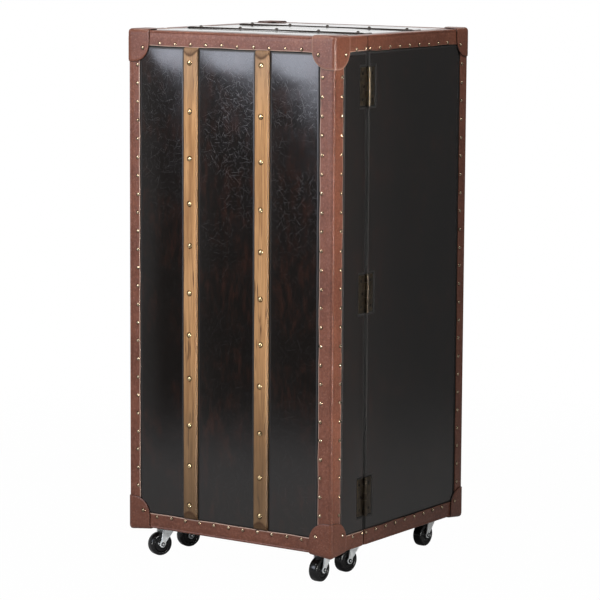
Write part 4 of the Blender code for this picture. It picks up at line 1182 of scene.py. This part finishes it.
mixed = paper.node("MixShader", None, {0: faded, 1: lit, 2: paper.node("BsdfTransparent")})
paper.feed(paper.tree.nodes["Material Output"].inputs["Surface"], mixed)
mesh.materials.append(paper.owner)

CAMERA_AT = Vector((3.6442, -5.3765, 1.4965))
CAMERA_YAW = radians(34.111)
CAMERA_PITCH = radians(8.010)
CAMERA_ROLL = radians(0.3288)
CAMERA_LENS = 172.11
CAMERA_SENSOR = 36.0
lens = bpy.data.cameras.new("camera")
lens.lens = CAMERA_LENS
lens.sensor_width = CAMERA_SENSOR
lens.clip_end = 100.0
camera = bpy.data.objects.new("camera", lens)
turn = Matrix.Rotation(CAMERA_YAW, 4, "Z") @ Matrix.Rotation(pi / 2 - CAMERA_PITCH, 4, "X")
camera.matrix_world = Matrix.Translation(CAMERA_AT) @ turn @ Matrix.Rotation(CAMERA_ROLL, 4, "Z")
studio.collection.objects.link(camera)
studio.camera = camera

ROOM_FOR_DIFFUSE = 0.22
ROOM_FOR_GLOSS = 0.05
GLOW_ON_LEFT = 0.30
GLOW_ON_RIGHT = 0.17
room = Finish("studio", "worlds")
studio.world = room.owner
path = room.node("LightPath")
ray = room.node("TexCoord", out="Generated")
behind = (-sin(CAMERA_YAW), cos(CAMERA_YAW), 0.0)
backdrop = room.vector("DOT_PRODUCT", ray, behind, out="Value").step(0.70, 0.86)
leftward = room.vector("DOT_PRODUCT", ray, (-1.0, 0.0, 0.0), out="Value")
glow = (leftward.step(0.57, 0.72) * GLOW_ON_LEFT).over(leftward.step(-0.20, -0.60) * GLOW_ON_RIGHT)
white = path.output("Is Camera Ray").over(path.output("Is Transmission Ray"))
gloss = path.output("Is Glossy Ray")
diffuse = (1 - white) * (1 - gloss) * ROOM_FOR_DIFFUSE
level = diffuse + white + gloss * backdrop.over(glow.over(ROOM_FOR_GLOSS))
room.feed(room.tree.nodes["Background"].inputs["Color"], WHITE)
room.feed(room.tree.nodes["Background"].inputs["Strength"], level)


def softbox(name, at, target, wide, tall, power, colour, roll=0.0, cone=180.0):
    light = bpy.data.lights.new(name, "AREA")
    light.shape = "RECTANGLE"
    light.size = wide
    light.size_y = tall
    light.energy = power
    light.color = colour
    light.spread = radians(cone)
    lamp = bpy.data.objects.new(name, light)
    facing = (Vector(target) - Vector(at)).to_track_quat("-Z", "Y").to_matrix().to_4x4()
    lamp.matrix_world = Matrix.Translation(at) @ facing @ Matrix.Rotation(radians(roll), 4, "Z")
    lamp.visible_camera = False
    studio.collection.objects.link(lamp)


COOL = (0.83, 0.87, 1.0)
WARM = (1.0, 0.97, 0.94)
GREENISH = (0.97, 1.0, 0.98)
softbox("softbox_front_left", (-1.40, -3.83, 1.52), (0.0, -0.2, 1.0), 2.6, 1.5, 66, COOL, roll=-12)
softbox("softbox_overhead", (-0.1, -1.5, 2.4), (0.0, 0.0, 0.9), 1.2, 1.2, 36, WARM)
softbox("softbox_right", (1.2, 0.1, 2.1), (0.27, 0.1, 1.1), 0.5, 0.5, 9, WARM)
softbox("fill_by_hinges", (1.60, -0.45, 0.82), (0.275, -0.262, 0.79), 0.12, 1.3, 1.3, WARM, cone=24)
softbox("fill_front_caster", (-0.22, -0.55, 0.03), (-0.22, -0.2, 0.03), 0.3, 0.03, 0.028, GREENISH, cone=16)
softbox("fill_side_casters", (0.55, 0.0, 0.03), (0.2, 0.0, 0.03), 0.8, 0.03, 0.024, GREENISH, cone=16)
